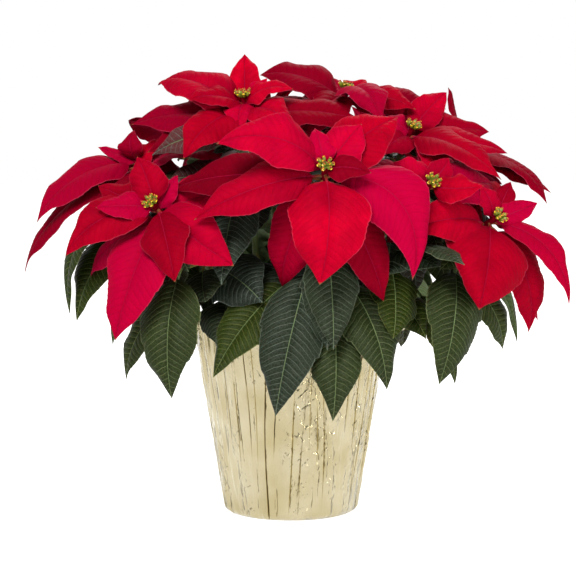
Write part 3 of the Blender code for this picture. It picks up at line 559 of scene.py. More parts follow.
def on_curve(knots, t):
    """The point at share t of a cubic curve with these knots, and its direction there."""
    s = 1 - t
    point = knots[0] * s**3 + knots[1] * 3 * s * s * t + knots[2] * 3 * s * t * t + knots[3] * t**3
    slope = (knots[1] - knots[0]) * s * s + (knots[2] - knots[1]) * 2 * s * t + (knots[3] - knots[2]) * t * t
    return point, slope.normalized()


def absorb(bm, part):
    """Adds the part's bmesh, with its layers, to this one."""
    mesh = meshed(part, "part")
    bm.from_mesh(mesh)
    bpy.data.meshes.remove(mesh)


def rod(sides, rings, place_at, radius_at):
    """A closed rod, bent to follow place_at (point and direction) with radius_at, from 0 to 1."""
    bm = bmesh.new()
    bmesh.ops.create_cone(bm, cap_ends=True, segments=sides, radius1=1, radius2=1, depth=2)
    long_edges = [e for e in bm.edges if abs(e.verts[0].co.z - e.verts[1].co.z) > 1]
    bmesh.ops.subdivide_edges(bm, edges=long_edges, cuts=rings - 1, use_grid_fill=True)
    side = place_at(0)[1].orthogonal().normalized()
    frames = []
    for k in range(rings + 1):
        point, ahead = place_at(k / rings)
        side = (side - ahead * side.dot(ahead)).normalized()
        frames.append((point, side, ahead.cross(side)))
    for vert in bm.verts:
        share = (vert.co.z + 1) / 2
        point, side, other = frames[round(share * rings)]
        vert.co = point + (side * vert.co.x + other * vert.co.y) * radius_at(share)
    return bm


def stem_radius(t):
    """A green stem's radius at share t of it, with a swelling at each leaf scar."""
    return STEM_RADIUS * (1.0 + SCAR_SWELL * max(0.0, math.cos(2 * math.pi * LEAF_SCARS * t)) ** 8)


def trunk_place(x, y):
    height = FORK_HEIGHT - TRUNK_FOOT_HEIGHT
    return lambda t: (Vector((x * MM, y * MM, TRUNK_FOOT_HEIGHT + height * t)), Vector((0, 0, 1)))


# Young bark: green and dull, with fibres 1.5 mm apart, and brown and corky on the woody foot.
bark, tree, shader, coords = new_material("young_stem_bark", 0.6)
height_of = add(tree, "SeparateXYZ", {}, {"Vector": coords})["Z"]
upright = add(tree, "Mapping", {}, {"Vector": coords, "Scale": (1, 1, 0.25)})[0]
fibre = add(tree, "TexNoise", {}, {"Vector": upright, "Scale": 700, "Detail": 4})["Fac"]
brown = layered(tree, "4a3a26", (fibre, "847050"))
shade = layered(tree, "3d4a22", (fibre, "6a7a3a"), (height_of, brown, 0.23, 0.15))
bump = add(tree, "Bump", {}, {"Height": fibre, "Strength": 0.6, "Distance": 0.5 * MM})[0]
plug(tree, shader, {"Base Color": shade, "Normal": bump})

for plant, (x, y) in PLANTS.items():
    bm = bmesh.new()
    woody_foot = rod(
        TRUNK_SIDES, TRUNK_RINGS, trunk_place(x, y),
        lambda t: TRUNK_RADIUS * (1 - 0.05 * t + 0.03 * math.sin(19 * t)),
    )
    absorb(bm, woody_foot)
    for bloom in BLOOMS:
        if bloom.plant == plant:
            knots = stem_knots(bloom)
            absorb(bm, rod(STEM_SIDES, STEM_RINGS, lambda t, k=knots: on_curve(k, t), stem_radius))
    bmesh.ops.recalc_face_normals(bm, faces=bm.faces)
    piece(bm, "stems_" + plant, [bark], "plant_" + plant)


# Bracts: the red leaves round each flower. Each has a short stalk, a midrib and side veins that sink into
# the velvety upper side and stand out below, and a drawn-out tip. The place of each blade is found again
# from the same tables and draws as the solids, and the bend it was given from the tip of its solid.

GOLDEN_ANGLE = 137.5
BRACT_SPACING = 1.5 * MM
FIRST_BRACT_DEPTH = 5 * MM
WIDEST = 0.4
BASE_POWER = 0.65
TIP_POWER = 1.2
LOBES = 2.3
FOLD = 0.52
CURL = 0.62
WAVE = 2.2 * MM
LOBE = 0.12
BRACT_STALK = 0.1
LEAF_STALK = 0.27
BRACT_BOW = 0.17
LEAF_BOW = 0.2
SWAY = 0.05
LIGHT = (0, -1, 0.25)
BRACT_LEAN = 0.6
STALK_HALF_WIDTH = 1.3 * MM
BRACT_STALK_RADIUS = 1.0 * MM
TURNS = (0, 6, -6, 12, -12, 20, -20, 30, -30, 42, -42)
LIFTS = (0, 5, -5, 10, -10, 16, -16, 24, -24, 34, -34)
ARCHES = (1.0, 0.4, 1.7, 2.5)
TIP_MATCH = 0.05 * MM  # how near a solid's vertex lies to the tip of the blade that it belongs to
SMALL_BLADE = 92 * MM
LAST_ROW = (0.73, 0.68)  # the solid's last row of vertices before the tip, on a blade and on a small one
SOLID_HALF_THICKNESS = 0.45 * MM

BLADE_THICKNESS = 0.5 * MM
ROW_STEP = 1.9 * MM
COLUMN_STEP = 3.2 * MM
BRACT_VEINS = 6.2 * MM  # between side veins
LEAF_VEINS = 4.8 * MM
BRACT_LINE = 0.5 * MM  # half a side vein's width
LEAF_LINE = 0.3 * MM
BRACT_RELIEF = 0.3 * MM
LEAF_RELIEF = 0.6 * MM
VEIN_SLOPE = 0.4
VEIN_CURVE = 11  # for each metre: how much more the side veins turn towards the tip near the margin
VEIN_STRAY = 3.0  # how far a vein strays from its line, in mm
VEIN_NET = 420  # meshes of the fine net to a metre: the real ones are about 1 mm, too fine to show
QUILT = 0.32 * MM
MIDRIB_GROOVE = 0.5 * MM
MIDRIB_HALF_WIDTH = 1.3 * MM
STALK_SIDES = 8
STALK_STEP = 4 * MM
STALK_END = 0.95  # how far up the blade the midrib stands out, as a share of its length
STALK_LEAST = 0.12 * MM
SHOOT_RADII = 3.0, 2.5  # mm, of the shoot tip at its foot and under the flowers
SCALLOP = 0.012
TEETH = 3.3  # to one side of a leaf
TOOTH = 0.09  # how far they stand out, as a share of the half width
FRILL = 0.5 * MM
WAVES = 2.1  # along a blade's margin
FRILLS = 6.3
FLAT_UNDER = 12 * MM  # half width under which a blade's waves, frill and quilting grow weaker
SHALLOW_UNDER = 8 * MM  # the same for the groove of its midrib
FOLD_FROM = 0.06  # the share of the blade over which its fold begins
SIDE_REACH = 0.3  # the further out a bract's tip lies, as a share of this, the darker its painted shade
HIDDEN_BEHIND = 45 * MM  # how far behind its flower a hanging bract's tip is painted quite in the shade

# What a blade's vertices carry for its material. place: across and along the blade, in mm. share: the same as
# shares of the half width and the length, and 1 on the upper side, -1 on the lower. tone: its own colouring,
# with painted shade on a bract and a painted sheen on a higher leaf.
BLADE_LAYERS = ("place", "share", "tone")

# One blade: where it starts and ends, the way its upper side looks, and its shape
Blade = namedtuple("Blade", "root tip face half_width bow sway stalk twist phase lobe")


def blade_frame(blade):
    """Along the chord, across it, and up from it on the blade's upper side."""
    chord = blade.tip - blade.root
    side = chord.cross(blade.face).normalized()
    return chord, side, side.cross(chord).normalized()


def midrib_knots(blade):
    """The knots of the midrib's curve: an arch from the root to the tip."""
    chord, side, up = blade_frame(blade)
    root = blade.root
    rise = (up * blade.bow + side * blade.sway) * chord.length
    return root, root + chord * 0.28 + rise * 1.3, root + chord * 0.76 + rise * 1.1, blade.tip


def half_width(blade, s, hand):
    """Half the blade's width at share s of the blade after its stalk, on one hand."""
    outline = (s / WIDEST) ** BASE_POWER * ((1 - s) / (1 - WIDEST)) ** TIP_POWER
    swing = math.cos(2 * math.pi * (s * LOBES + 0.5 * blade.phase * hand))
    lobes = 1 + blade.lobe * swing * (s * (1 - s) * 4)
    return max(blade.half_width * outline * lobes, STALK_HALF_WIDTH * (1 - s))


def around(facing, degrees):
    """The way square to the facing that lies at this angle from level, turned towards uphill."""
    level = Vector((0, 0, 1)).cross(facing).normalized()
    turn = math.radians(degrees)
    return level * math.cos(turn) + facing.cross(level) * math.sin(turn)


def ring_tips(bloom):
    """Tips of the bracts that no list gives: small and steep inside, long and drooping outside."""
    count, reach, start = bloom.ring
    tips = []
    for k in range(count):
        grown = (k + 2) / (count + 1) if count > 4 else 1.0
        length = reach * (0.32 + 0.68 * grown)
        rise = math.radians(42 - 62 * grown)
        out = around(bloom.facing, start + GOLDEN_ANGLE * k)
        tip = (out * math.cos(rise) + bloom.facing * math.sin(rise)) * length
        tip.z -= 0.14 * length * grown
        tips.append((*tip, length * 0.46))
    return tips


def bracts_of(bloom, rng):
    """The blades of one bloom, the innermost first. Each starts on the axis of the red shoot tip."""
    blades = []
    shown = len(bloom.tips)
    for k, tip in enumerate(list(bloom.tips) + ring_tips(bloom)):
        x, y, z, width, *sway = tip
        blades.append(
            Blade(
                root=bloom.centre - bloom.facing * (FIRST_BRACT_DEPTH + BRACT_SPACING * k),
                tip=bloom.centre + metres((x, y, z)),
                face=(bloom.facing + Vector(LIGHT) * (BRACT_LEAN if k < shown else 0)).normalized(),
                half_width=width * MM / 2,
                bow=BRACT_BOW * rng.uniform(0.8, 1.2),
                sway=sway[0] if sway else SWAY * rng.uniform(-1, 1),
                stalk=BRACT_STALK,
                twist=rng.uniform(-0.35, 0.35),
                phase=rng.random(),
                lobe=LOBE * rng.random(),
            )
        )
    return blades


def as_packed(blade, tree):
    """The blade as its solid has it, or None if it has none.

    It is bent so that its tip lies on a vertex of the solid, and arched so that its midrib lies midway
    between two vertices of the last row.
    """
    chord, side, _ = blade_frame(blade)
    row = LAST_ROW[chord.length < SMALL_BLADE]

    def misfit(bent):
        middle, _ = on_curve(midrib_knots(bent), bent.stalk + (1 - bent.stalk) * row)
        return abs(tree.find(middle)[2] - SOLID_HALF_THICKNESS)

    for turn in TURNS:
        for lift in LIFTS:
            turned_by = Matrix.Rotation(math.radians(turn), 3, blade.face)
            tip = blade.root + turned_by @ Matrix.Rotation(math.radians(lift), 3, side) @ chord
            if tree.find(tip)[2] < TIP_MATCH:
                return min((blade._replace(tip=tip, bow=blade.bow * arch) for arch in ARCHES), key=misfit)
    return None


def vertex_tree(node):
    """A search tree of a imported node's vertices."""
    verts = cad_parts[node].data.vertices
    tree = KDTree(len(verts))
    for k, vert in enumerate(verts):
        tree.insert(vert.co, k)
    tree.balance()
    return tree


def lamina(blade, tone, spacing, tooth):
    """The flat of a blade: a grid along the midrib, given its thickness and drawn to a point at the tip."""
    length = (blade.tip - blade.root).length * (1 - blade.stalk)
    rows = max(12, round(length / ROW_STEP))
    columns = 2 * max(3, round(blade.half_width / COLUMN_STEP))
    knots = midrib_knots(blade)
    _, flat_side, _ = blade_frame(blade)
    bm = bmesh.new()
    place, share, tint = (bm.verts.layers.float_vector.new(name) for name in BLADE_LAYERS)
    bmesh.ops.create_grid(bm, x_segments=columns, y_segments=rows, size=1)
    for vert in bm.verts:
        vert[share] = (vert.co.x, (vert.co.y + 1) / 2, -1)
    lifted = bmesh.ops.extrude_face_region(bm, geom=bm.faces[:])["geom"]
    for item in lifted:
        if isinstance(item, bmesh.types.BMVert):
            item[share] = (item[share].x, item[share].y, 1)
    row_frames = []
    for k in range(rows + 1):
        s = k / rows
        t = blade.stalk + (1 - blade.stalk) * s
        point, ahead = on_curve(knots, t)
        side = Matrix.Rotation(blade.twist * (t - blade.stalk), 3, ahead) @ flat_side
        widths = (half_width(blade, s, -1), half_width(blade, s, 1))
        row_frames.append((t, point, side, side.cross(ahead).normalized(), widths))
    for vert in bm.verts:
        u, s, level = vert[share]
        t, point, side, up, widths = row_frames[round(s * rows)]
        width = widths[u > 0]
        across, along = abs(u) * width, s * length
        phase = (along - VEIN_SLOPE * across - VEIN_CURVE * across * across) / spacing + (0.5 if u > 0 else 0)
        width *= 1 + SCALLOP * math.cos(2 * math.pi * phase) + SCALLOP * math.sin(17 * s + 40 * blade.phase)
        out_to_tooth = (s * TEETH + 7 * blade.phase + (0.4 if u > 0 else 0)) % 1 - 0.5
        width *= 1 + tooth * out_to_tooth * math.sin(math.pi * s)
        margin = min(1.0, width / FLAT_UNDER)
        wave = WAVE * math.sin(2 * math.pi * (WAVES * t + blade.phase) + u) * u * u * margin
        frill = FRILL * math.sin(2 * math.pi * (FRILLS * t + 3 * blade.phase) + 2 * u) * u**4 * margin
        swell = (1 - math.cos(2 * math.pi * phase)) / 2
        quilt = QUILT * swell * math.sin(math.pi * min(1.0, abs(u) * 1.05)) ** 0.5
        groove = MIDRIB_GROOVE * math.exp(-((across / MIDRIB_HALF_WIDTH) ** 2))
        groove *= min(1.0, width / SHALLOW_UNDER)
        height = width * (FOLD * abs(u) - CURL * u * u) + wave + frill + quilt * margin - groove
        thick = BLADE_THICKNESS / 2 * (1 - 0.6 * u * u)
        vert.co = point + side * (width * u) + up * (height * min(1.0, s / FOLD_FROM) + level * thick)
        vert[place] = (u * width / MM, along / MM, 0)
        vert[tint] = tone
    tips = [v for v in bm.verts if v[share].y > 1 - 0.5 / rows]
    bmesh.ops.pointmerge(bm, verts=tips, merge_co=blade.tip)
    return bm


def stalk(blade, tone, radius):
    """The blade's round stalk, which runs on below the blade as its midrib, thinner and thinner."""
    knots = midrib_knots(blade)
    length = (blade.tip - blade.root).length
    _, side, _ = blade_frame(blade)
    rings = max(10, round(length / STALK_STEP))

    def radius_at(share_of_rod):
        t = share_of_rod * STALK_END
        past = max(0.0, (t - blade.stalk) / (1 - blade.stalk))
        return radius * (1.15 - 0.15 * min(1.0, t / blade.stalk)) * (1 - past) ** 0.8 + STALK_LEAST

    def place_at(share_of_rod):
        t = share_of_rod * STALK_END
        point, ahead = on_curve(knots, t)
        sunk = min(1.0, max(0.0, (t - blade.stalk * 0.8) / 0.06))
        up = side.cross(ahead).normalized()
        return point - up * sunk * (radius_at(share_of_rod) * 0.8 + 0.1 * MM), ahead

    bm = rod(STALK_SIDES, rings, place_at, radius_at)
    place, share, tint = (bm.verts.layers.float_vector.new(name) for name in BLADE_LAYERS)
    for vert in bm.verts:
        near = (vert.co - blade.root).length / length
        vert[share] = (0, min(0.0, near / blade.stalk - 1), -1 if near > blade.stalk else 0)
        vert[place] = (0, near * length / MM, 0)
        vert[tint] = tone
    return bm


def grow(bm, blade, tone, spacing, tooth, stalk_radius):
    """Adds a whole blade, in this tone: its flat and its stalk."""
    absorb(bm, lamina(blade, tone, spacing, tooth))
    absorb(bm, stalk(blade, tone, stalk_radius))


def veins(tree, coords, spacing, line):
    """How strongly the midrib, a side vein and the fine net show at a point of a blade, and its attributes.

    The side veins of the two halves leave the midrib by turns, spacing apart. line is half a vein's width.
    """
    read = (add(tree, "Attribute", {"attribute_name": name}, {})["Vector"] for name in BLADE_LAYERS)
    place, share, tone = (add(tree, "SeparateXYZ", {}, {"Vector": layer}) for layer in read)
    soft = {"interpolation_type": "SMOOTHSTEP"}
    half, line = spacing / MM / 2, line / MM
    across = add(tree, "Math", {"operation": "ABSOLUTE"}, {0: place["X"]})[0]
    rib = add(tree, "MapRange", soft, {"Value": across, "From Min": 0.5, "From Max": 0.1})[0]
    stray = add(tree, "TexNoise", {}, {"Vector": coords, "Scale": 80, "Detail": 1})["Fac"]
    turned_by = {0: across, 1: VEIN_CURVE * MM, 2: VEIN_SLOPE}
    turning = add(tree, "Math", {"operation": "MULTIPLY_ADD"}, turned_by)[0]
    back = add(tree, "Math", {"operation": "MULTIPLY"}, {0: across, 1: turning})[0]
    start = add(tree, "Math", {"operation": "SUBTRACT"}, {0: place["Y"], 1: back})[0]
    hand = add(tree, "Math", {"operation": "GREATER_THAN"}, {0: place["X"], 1: 0.0})[0]
    by_turns = add(tree, "Math", {"operation": "MULTIPLY_ADD"}, {0: hand, 1: half, 2: start})[0]
    strayed = add(tree, "Math", {"operation": "MULTIPLY_ADD"}, {0: stray, 1: VEIN_STRAY, 2: by_turns})[0]
    from_vein = add(tree, "Math", {"operation": "PINGPONG"}, {0: strayed, 1: half})[0]
    cells = add(
        tree, "TexVoronoi", {"feature": "DISTANCE_TO_EDGE"}, {"Vector": coords, "Scale": VEIN_NET}
    )["Distance"]
    return {
        "rib": rib,
        "line": add(tree, "MapRange", soft, {"Value": from_vein, "From Min": line, "From Max": line / 6})[0],
        "swell": add(tree, "MapRange", soft, {"Value": from_vein, "From Max": half})[0],
        "net": add(tree, "MapRange", {}, {"Value": cells, "From Min": 0.12, "From Max": 0.0})[0],
        "across": add(tree, "Math", {"operation": "ABSOLUTE"}, {0: share["X"]})[0],
        "share": share,
        "tone": tone,
    }


def vein_relief(tree, coords, vein, depth):
    """A bump that presses the veins into the surface, with the net and a fine grain between them."""
    height = add(tree, "Math", {"operation": "MAXIMUM"}, {0: vein["rib"], 1: vein["line"]})[0]
    for name, much in (("swell", -1.2), ("net", 0.22)):
        height = add(tree, "Math", {"operation": "MULTIPLY_ADD"}, {0: vein[name], 1: much, 2: height})[0]
    bump = add(tree, "Bump", {"invert": True}, {"Height": height, "Strength": 0.6, "Distance": depth})[0]
    grain = add(tree, "TexNoise", {}, {"Vector": coords, "Scale": 1500, "Detail": 2})["Fac"]
    return add(
        tree, "Bump", {}, {"Height": grain, "Strength": 0.25, "Distance": 0.2 * MM, "Normal": bump}
    )[0]


# The velvety skin of a bract: no gloss at all, and a deep red that lets some light through. It is mottled in
# patches of about 20 mm, and its side veins are a little darker. Its red is painted darker as shade far out
# at the sides, where it hangs behind its flower and towards the flower, and its margin has a painted
# highlight.
velvet, tree, shader, coords = new_material(
    "bract_velvet", 0.6, specular_ior_level=0.01, sheen_weight=0.01, sheen_roughness=0.4,
    sheen_tint=linear("ff3060"), subsurface_weight=0.1, subsurface_scale=0.0015,
)
vein = veins(tree, coords, BRACT_VEINS, BRACT_LINE)
mottle = add(tree, "TexNoise", {}, {"Vector": coords, "Scale": 45, "Detail": 3})["Fac"]
red = layered(
    tree, "5c0010",
    # its own random tone times the painted light of bract_light: painted shade at the sides and behind the
    # flower
    (vein["tone"]["X"], "b6001f"),
    (mottle, "6a0012", 0.35, 0.7, 0, 0.6),
    (vein["share"]["Y"], "660012", 0, 0.4, 0.6, 0),  # painted shade, darker towards the flower
    (vein["tone"]["Y"], "94002a"),  # some are pinker
    (vein["line"], "5c0416", 0, 1, 0, 0.06),
    (vein["across"], "c05068", 0.97, 1, 0, 0.25),  # a paler margin, with a painted highlight along the edge
    (vein["share"]["Z"], "8c1030", 0, -0.5, 0, 0.75),  # the under side
    (vein["share"]["Y"], "7c5a34", 0, -0.8),  # the stalk
    (vein["share"]["Y"], "6a5a36", 0.965, 1),  # the dried tip
)
plug(tree, shader, {"Base Color": red, "Normal": vein_relief(tree, coords, vein, BRACT_RELIEF)})


def bract_light(blade, flower):
    """Painted light on a bract: painted shade far out at the side, and where it hangs behind its flower."""
    behind = (blade.tip.y - flower.y) * (1 if flower.y < 0 else -1) / HIDDEN_BEHIND
    hidden = min(1.0, max(0.0, behind)) if blade.tip.z < flower.z else 0.0
    return max(0.0, 1.2 - abs(blade.tip.x) / SIDE_REACH) * (1 - 0.75 * hidden)


rng = random.Random(11)
wanted_bracts = {bloom.name: bracts_of(bloom, rng) for bloom in BLOOMS}
looks_rng = random.Random(2)
for bloom in BLOOMS:
    packed = vertex_tree("bracts_" + bloom.name)
    bm = bmesh.new()
    for wanted in wanted_bracts[bloom.name]:
        blade = as_packed(wanted, packed)
        if blade:
            # painted light: the tone is darkened as painted shade by where the bract lies
            light = bract_light(blade, bloom.centre)
            tone = (min(1.0, light * looks_rng.uniform(0.05, 1.0)), 0.9 * looks_rng.random() ** 2, 0)
            grow(bm, blade, tone, BRACT_VEINS, 0.3 * TOOTH, BRACT_STALK_RADIUS)
    facing = bloom.facing
    foot_of_tip = bloom.centre - facing * TIP_LENGTH
    low, high = SHOOT_RADII
    shoot = rod(
        12, 10, lambda t: (foot_of_tip + facing * TIP_LENGTH * t, facing),
        lambda t: (low - (low - high) * t) * MM,
    )
    share = shoot.verts.layers.float_vector.new("share")
    for vert in shoot.verts:
        vert[share] = (0, 0, 0)
    absorb(bm, shoot)
    bmesh.ops.recalc_face_normals(bm, faces=bm.faces)
    piece(bm, "bloom_" + bloom.name, [velvet], "bracts_" + bloom.name)


# Leaves: dark green, on long stalks, hanging from the stems all round, with small young ones higher up under
# the bracts. Their upper side is dull and slightly waxy, with pale sunken veins, and the under side is paler.

Leaf = namedtuple("Leaf", "stem place tip width bow")
LEAVES = [Leaf(*row) for row in (
    ("top_left", 0.80, (-60, -132, 222), 50, 0.15), ("right_middle", 0.55, (142, -144, 242), 38, 0.10),
    ("front_centre", 0.45, (-65, -122, 135), 50, 0.12), ("front_left", 0.55, (-24, -104, 196), 54, 0.15),
    ("front_left", 0.72, (-100, -108, 115), 54, 0.25), ("front_centre", 0.62, (-13, -126, 103), 55, 0.16),
    ("front_centre", 0.40, (33, -116, 92), 48, 0.20), ("front_centre", 0.44, (80, -118, 124), 54, 0.20),
    ("right_low", 0.80, (124, -108, 127), 54, 0.20), ("right_middle", 0.62, (88, -124, 174), 42, 0.12),
    ("front_centre", 0.80, (22, -136, 160), 44, 0.10), ("front_centre", 0.52, (27, -104, 142), 40, 0.15),
    ("left_upper", 0.80, (-189, -62, 183), 50, 0.20), ("front_left", 0.60, (-143, -62, 176), 48, 0.20),
    ("front_left", 0.48, (-143, -45, 122), 36, 0.30), ("front_centre", 0.48, (-40, -98, 167), 46, 0.15),
    ("front_left", 0.36, (-62, -96, 159), 46, 0.25), ("right_low", 0.70, (186, -20, 146), 40, 0.25),
    ("right_low", 0.50, (142, -50, 119), 34, 0.25), ("top_left", 0.92, (-120, -20, 312), 30, 0.15),
    ("right_middle", 0.90, (186, -58, 284), 33, 0.12), ("top_right", 0.93, (-4, -50, 324), 46, 0.10),
    ("right_middle", 0.70, (84, -92, 222), 50, 0.15), ("front_centre", 0.86, (57, -88, 214), 50, 0.12),
    ("top_left", 0.72, (-106, -40, 296), 39, 0.20), ("top_left", 0.82, (-48, -75, 308), 38, 0.20),
    ("right_middle", 0.36, (115, -80, 162), 42, 0.20), ("front_centre", 0.74, (5, -96, 192), 34, 0.12),
    ("top_right", 0.74, (33, -68, 261), 44, 0.20), ("top_back", 0.93, (-46, 12, 316), 50, 0.10),
    ("top_back", 0.86, (22, 22, 304), 50, 0.10), ("top_left", 0.62, (-78, -62, 258), 46, 0.15),
    ("right_upper", 0.80, (76, -66, 276), 42, 0.15), ("right_upper", 0.66, (130, -62, 198), 50, 0.15),
    ("right_low", 0.86, (168, -92, 200), 40, 0.15), ("left_upper", 0.62, (-92, -62, 165), 46, 0.15),
    ("right_middle", 0.60, (125, -95, 205), 46, 0.05), ("front_left", 0.60, (-72, -100, 196), 46, 0.05),
)]
MORE_LEAVES = {
    "left_upper": (2, 205), "back_left": (4, 20), "top_back": (2, 80),
    "right_back": (4, 350), "back_right": (4, 60), "back_low": (4, 100),
}
YOUNG_LEAVES = 6  # to a stem, just under its bracts
INNER_LEAVES = 6  # to a stem, lower down
YOUNG_REACH = 46 * MM
YOUNG_WIDTH = 26
YOUNG_DROOP = 0.1
MORE_LEAF_REACH = 118
MORE_LEAF_WIDTH = 48
FIRST_LEAF_PLACE = 0.42
LAST_LEAF_PLACE = 0.92
LEAF_FACE = (0.45, -1, 0.5)  # for a tip TURNED_OUT from the middle: nearer, it faces the front more
TURNED_OUT = 100 * MM
LEAF_STALK_RADIUS = 1.15 * MM
OLIVE_BELOW = 0.17  # height of a leaf's tip under which it is olive
BLUE_ABOVE = 0.24
BLUE_WITHIN = 0.085  # distance of the tip from the middle within which even a low leaf is bluer, with a painted sheen
FLUSHED_ABOVE = 0.29  # height of the tip over which a leaf is flushed with red


def along_stem(points, place):
    """The point and direction at this share of the stem."""
    whole = place * (len(points) - 1)
    k = min(int(whole), len(points) - 2)
    step = points[k + 1] - points[k]
    return points[k] + step * (whole - k), step.normalized()


def leaf_blade(root, tip, face, width, bow, rng):
    return Blade(
        root=root, tip=tip, face=face.normalized(), half_width=width * MM / 2, bow=bow,
        sway=SWAY * rng.uniform(-1, 1), stalk=LEAF_STALK, twist=rng.uniform(-0.3, 0.3), phase=rng.random(),
        lobe=LOBE * rng.random(),
    )


def listed_leaves(stems, rng):
    """The leaves that show from the front, each with the bloom whose stem it grows on."""
    blades = []
    for leaf in LEAVES:
        root, _ = along_stem(stems[leaf.stem], leaf.place)
        tip = metres(leaf.tip)
        face = Vector(LEAF_FACE)
        face.x *= tip.x / TURNED_OUT
        blades.append((leaf.stem, leaf_blade(root, tip, face, leaf.width, leaf.bow, rng)))
    return blades


def young_leaves(stems, rng):
    """The small leaves round each stem: close together under its bracts, larger and wider apart below."""
    blades = []
    for bloom in BLOOMS:
        for k in range(YOUNG_LEAVES + INNER_LEAVES):
            below = max(0, k - YOUNG_LEAVES + 1)
            size = (1.3 if below else 1.0) * rng.uniform(0.8, 1.15)
            place = 0.86 - 0.11 * (below - 1) if below else 0.97 - 0.025 * k
            root, _ = along_stem(stems[bloom.name], place)
            out = around(bloom.facing, rng.uniform(0, 40) + GOLDEN_ANGLE * k)
            droop = bloom.facing * YOUNG_DROOP + Vector((0, 0, 0.25 * below))
            tip = root + (out - droop).normalized() * size * YOUNG_REACH
            blade = leaf_blade(root, tip, bloom.facing, YOUNG_WIDTH * size, LEAF_BOW, rng)
            blades.append((bloom.name, blade))
    return blades


def more_leaves(stems, rng):
    """The other leaves, spaced up each stem and turned by the golden angle."""
    blades = []
    for name, (count, start) in MORE_LEAVES.items():
        for k in range(count):
            place = FIRST_LEAF_PLACE + (LAST_LEAF_PLACE - FIRST_LEAF_PLACE) * (k + 0.5) / count
            root, ahead = along_stem(stems[name], place)
            out = around(ahead, start + GOLDEN_ANGLE * k)
            away = Vector((root.x, root.y, 0)).normalized()
            tip = root + (out * 0.55 + away * 0.55 - Vector((0, 0, 0.62))) * MORE_LEAF_REACH * MM
            face = Vector((tip.x, tip.y, 0)).normalized() + Vector((0, 0, 0.9))
            blades.append((name, leaf_blade(root, tip, face, MORE_LEAF_WIDTH, LEAF_BOW, rng)))
    return blades


# The waxy skin of a leaf: a dull dark green with hardly a gloss, mottled in patches of about 20 mm, with
# paler veins that fade to the margin. The higher leaves, and those in the middle, are bluer and greyer: their
# waxy bloom, with a painted sheen.
waxy, tree, shader, coords = new_material(
    "leaf_cuticle", 0.5, specular_ior_level=0.08, sheen_weight=0.01, sheen_roughness=0.4,
    sheen_tint=linear("c8d8d0"), subsurface_weight=0.05, subsurface_scale=0.001,
)
vein = veins(tree, coords, LEAF_VEINS, LEAF_LINE)
mottle = add(tree, "TexNoise", {}, {"Vector": coords, "Scale": 55, "Detail": 3})["Fac"]
pale = layered(tree, "6e7440", (vein["tone"]["X"], "6c766e"))
limits = {"From Min": 0.55, "From Max": 1.0, "To Min": 0.55, "To Max": 0.2}
fading = add(tree, "MapRange", {}, {"Value": vein["across"], **limits})[0]
drawn = add(tree, "Math", {"operation": "MULTIPLY"}, {0: vein["line"], 1: fading})[0]
netted = add(tree, "Math", {"operation": "MULTIPLY_ADD"}, {0: vein["net"], 1: 0.12, 2: drawn})[0]
ribbed = add(tree, "Math", {"operation": "MULTIPLY"}, {0: vein["rib"], 1: 0.7})[0]
shown = add(tree, "Math", {"operation": "MAXIMUM"}, {0: netted, 1: ribbed})[0]
green = layered(
    tree, "1f2a03",
    (vein["tone"]["X"], "1a2019"),  # olive to blue-grey green: the waxy bloom with a painted sheen
    (mottle, "0c1206", 0.3, 0.75, 0, 0.45),
    (vein["tone"]["Y"], "5a1f24"),  # the highest are flushed with red
    (shown, pale),
    (vein["across"], pale, 0.965, 1, 0, 0.5),  # a pale margin
    (vein["share"]["Z"], "5f7048", 0, -0.5, 0, 0.8),  # the under side
    (vein["share"]["Y"], "7d7a3c", 0, -0.2),  # the stalk
)
plug(tree, shader, {"Base Color": green, "Normal": vein_relief(tree, coords, vein, LEAF_RELIEF)})

stems = {}
for bloom in BLOOMS:
    knots = stem_knots(bloom)
    stems[bloom.name] = [on_curve(knots, k / (STEM_POINTS - 1))[0] for k in range(STEM_POINTS)]
wanted_leaves = listed_leaves(stems, rng) + more_leaves(stems, rng)
young = young_leaves(stems, rng)
plant_of = {bloom.name: bloom.plant for bloom in BLOOMS}
for plant in PLANTS:
    packed = vertex_tree("plant_" + plant)
    bm = bmesh.new()
    for stem_name, wanted in wanted_leaves:
        if plant_of[stem_name] != plant:
            continue
        blade = as_packed(wanted, packed)
        if blade:
            # higher leaves and those in the middle get a bluer, greyer tone: waxy bloom with a painted sheen
            high = max(0.0, (blade.tip.z - OLIVE_BELOW) / (BLUE_ABOVE - OLIVE_BELOW))
            blush = 0.6 if blade.tip.z > FLUSHED_ABOVE else 0.0
            inner = 0.6 * max(0.0, 1 - (blade.tip.x / BLUE_WITHIN) ** 2)
            tone = (min(1.0, max(0.0, high + inner + looks_rng.uniform(-0.3, 0.4))), blush, 0)
            grow(bm, blade, tone, LEAF_VEINS, TOOTH, LEAF_STALK_RADIUS)
    for stem_name, blade in young:
        if plant_of[stem_name] == plant:
            tone = (looks_rng.random(), looks_rng.uniform(0.0, 0.12), 0)
            grow(bm, blade, tone, 0.7 * LEAF_VEINS, TOOTH, 0.6 * LEAF_STALK_RADIUS)
    bmesh.ops.recalc_face_normals(bm, faces=bm.faces)
    piece(bm, "leaves_" + plant, [waxy], "plant_" + plant)


# Flowers: the true flowers are the small green cups in the middle of each bloom. Each cup has a yellow lip
# that holds nectar and a tuft of red stamens with yellow pollen.

# Each ring of cups: its radius, how many, how far they lean out, and their size
CUP_RINGS = ((3.9 * MM, 7, 0.42, 1.0), (1.5 * MM, 3, 0.12, 0.95))
CUP_RADIUS = 1.7 * MM
CUP_HEIGHT = 5.2 * MM
CUP_SUNK = 1.2 * MM  # how far a cup's foot stands inside the neck
NECK_HEIGHT = 2.2 * MM
NECK_RADII = 2.3 * MM, 3.4 * MM
LIP_SIZE = 0.6 * MM, 1.25 * MM, 0.8 * MM
STAMENS = 5
POLLEN_RADIUS = 0.5 * MM
FILAMENT_RADIUS = 0.17 * MM
FILAMENT_LENGTH = 2.2 * MM

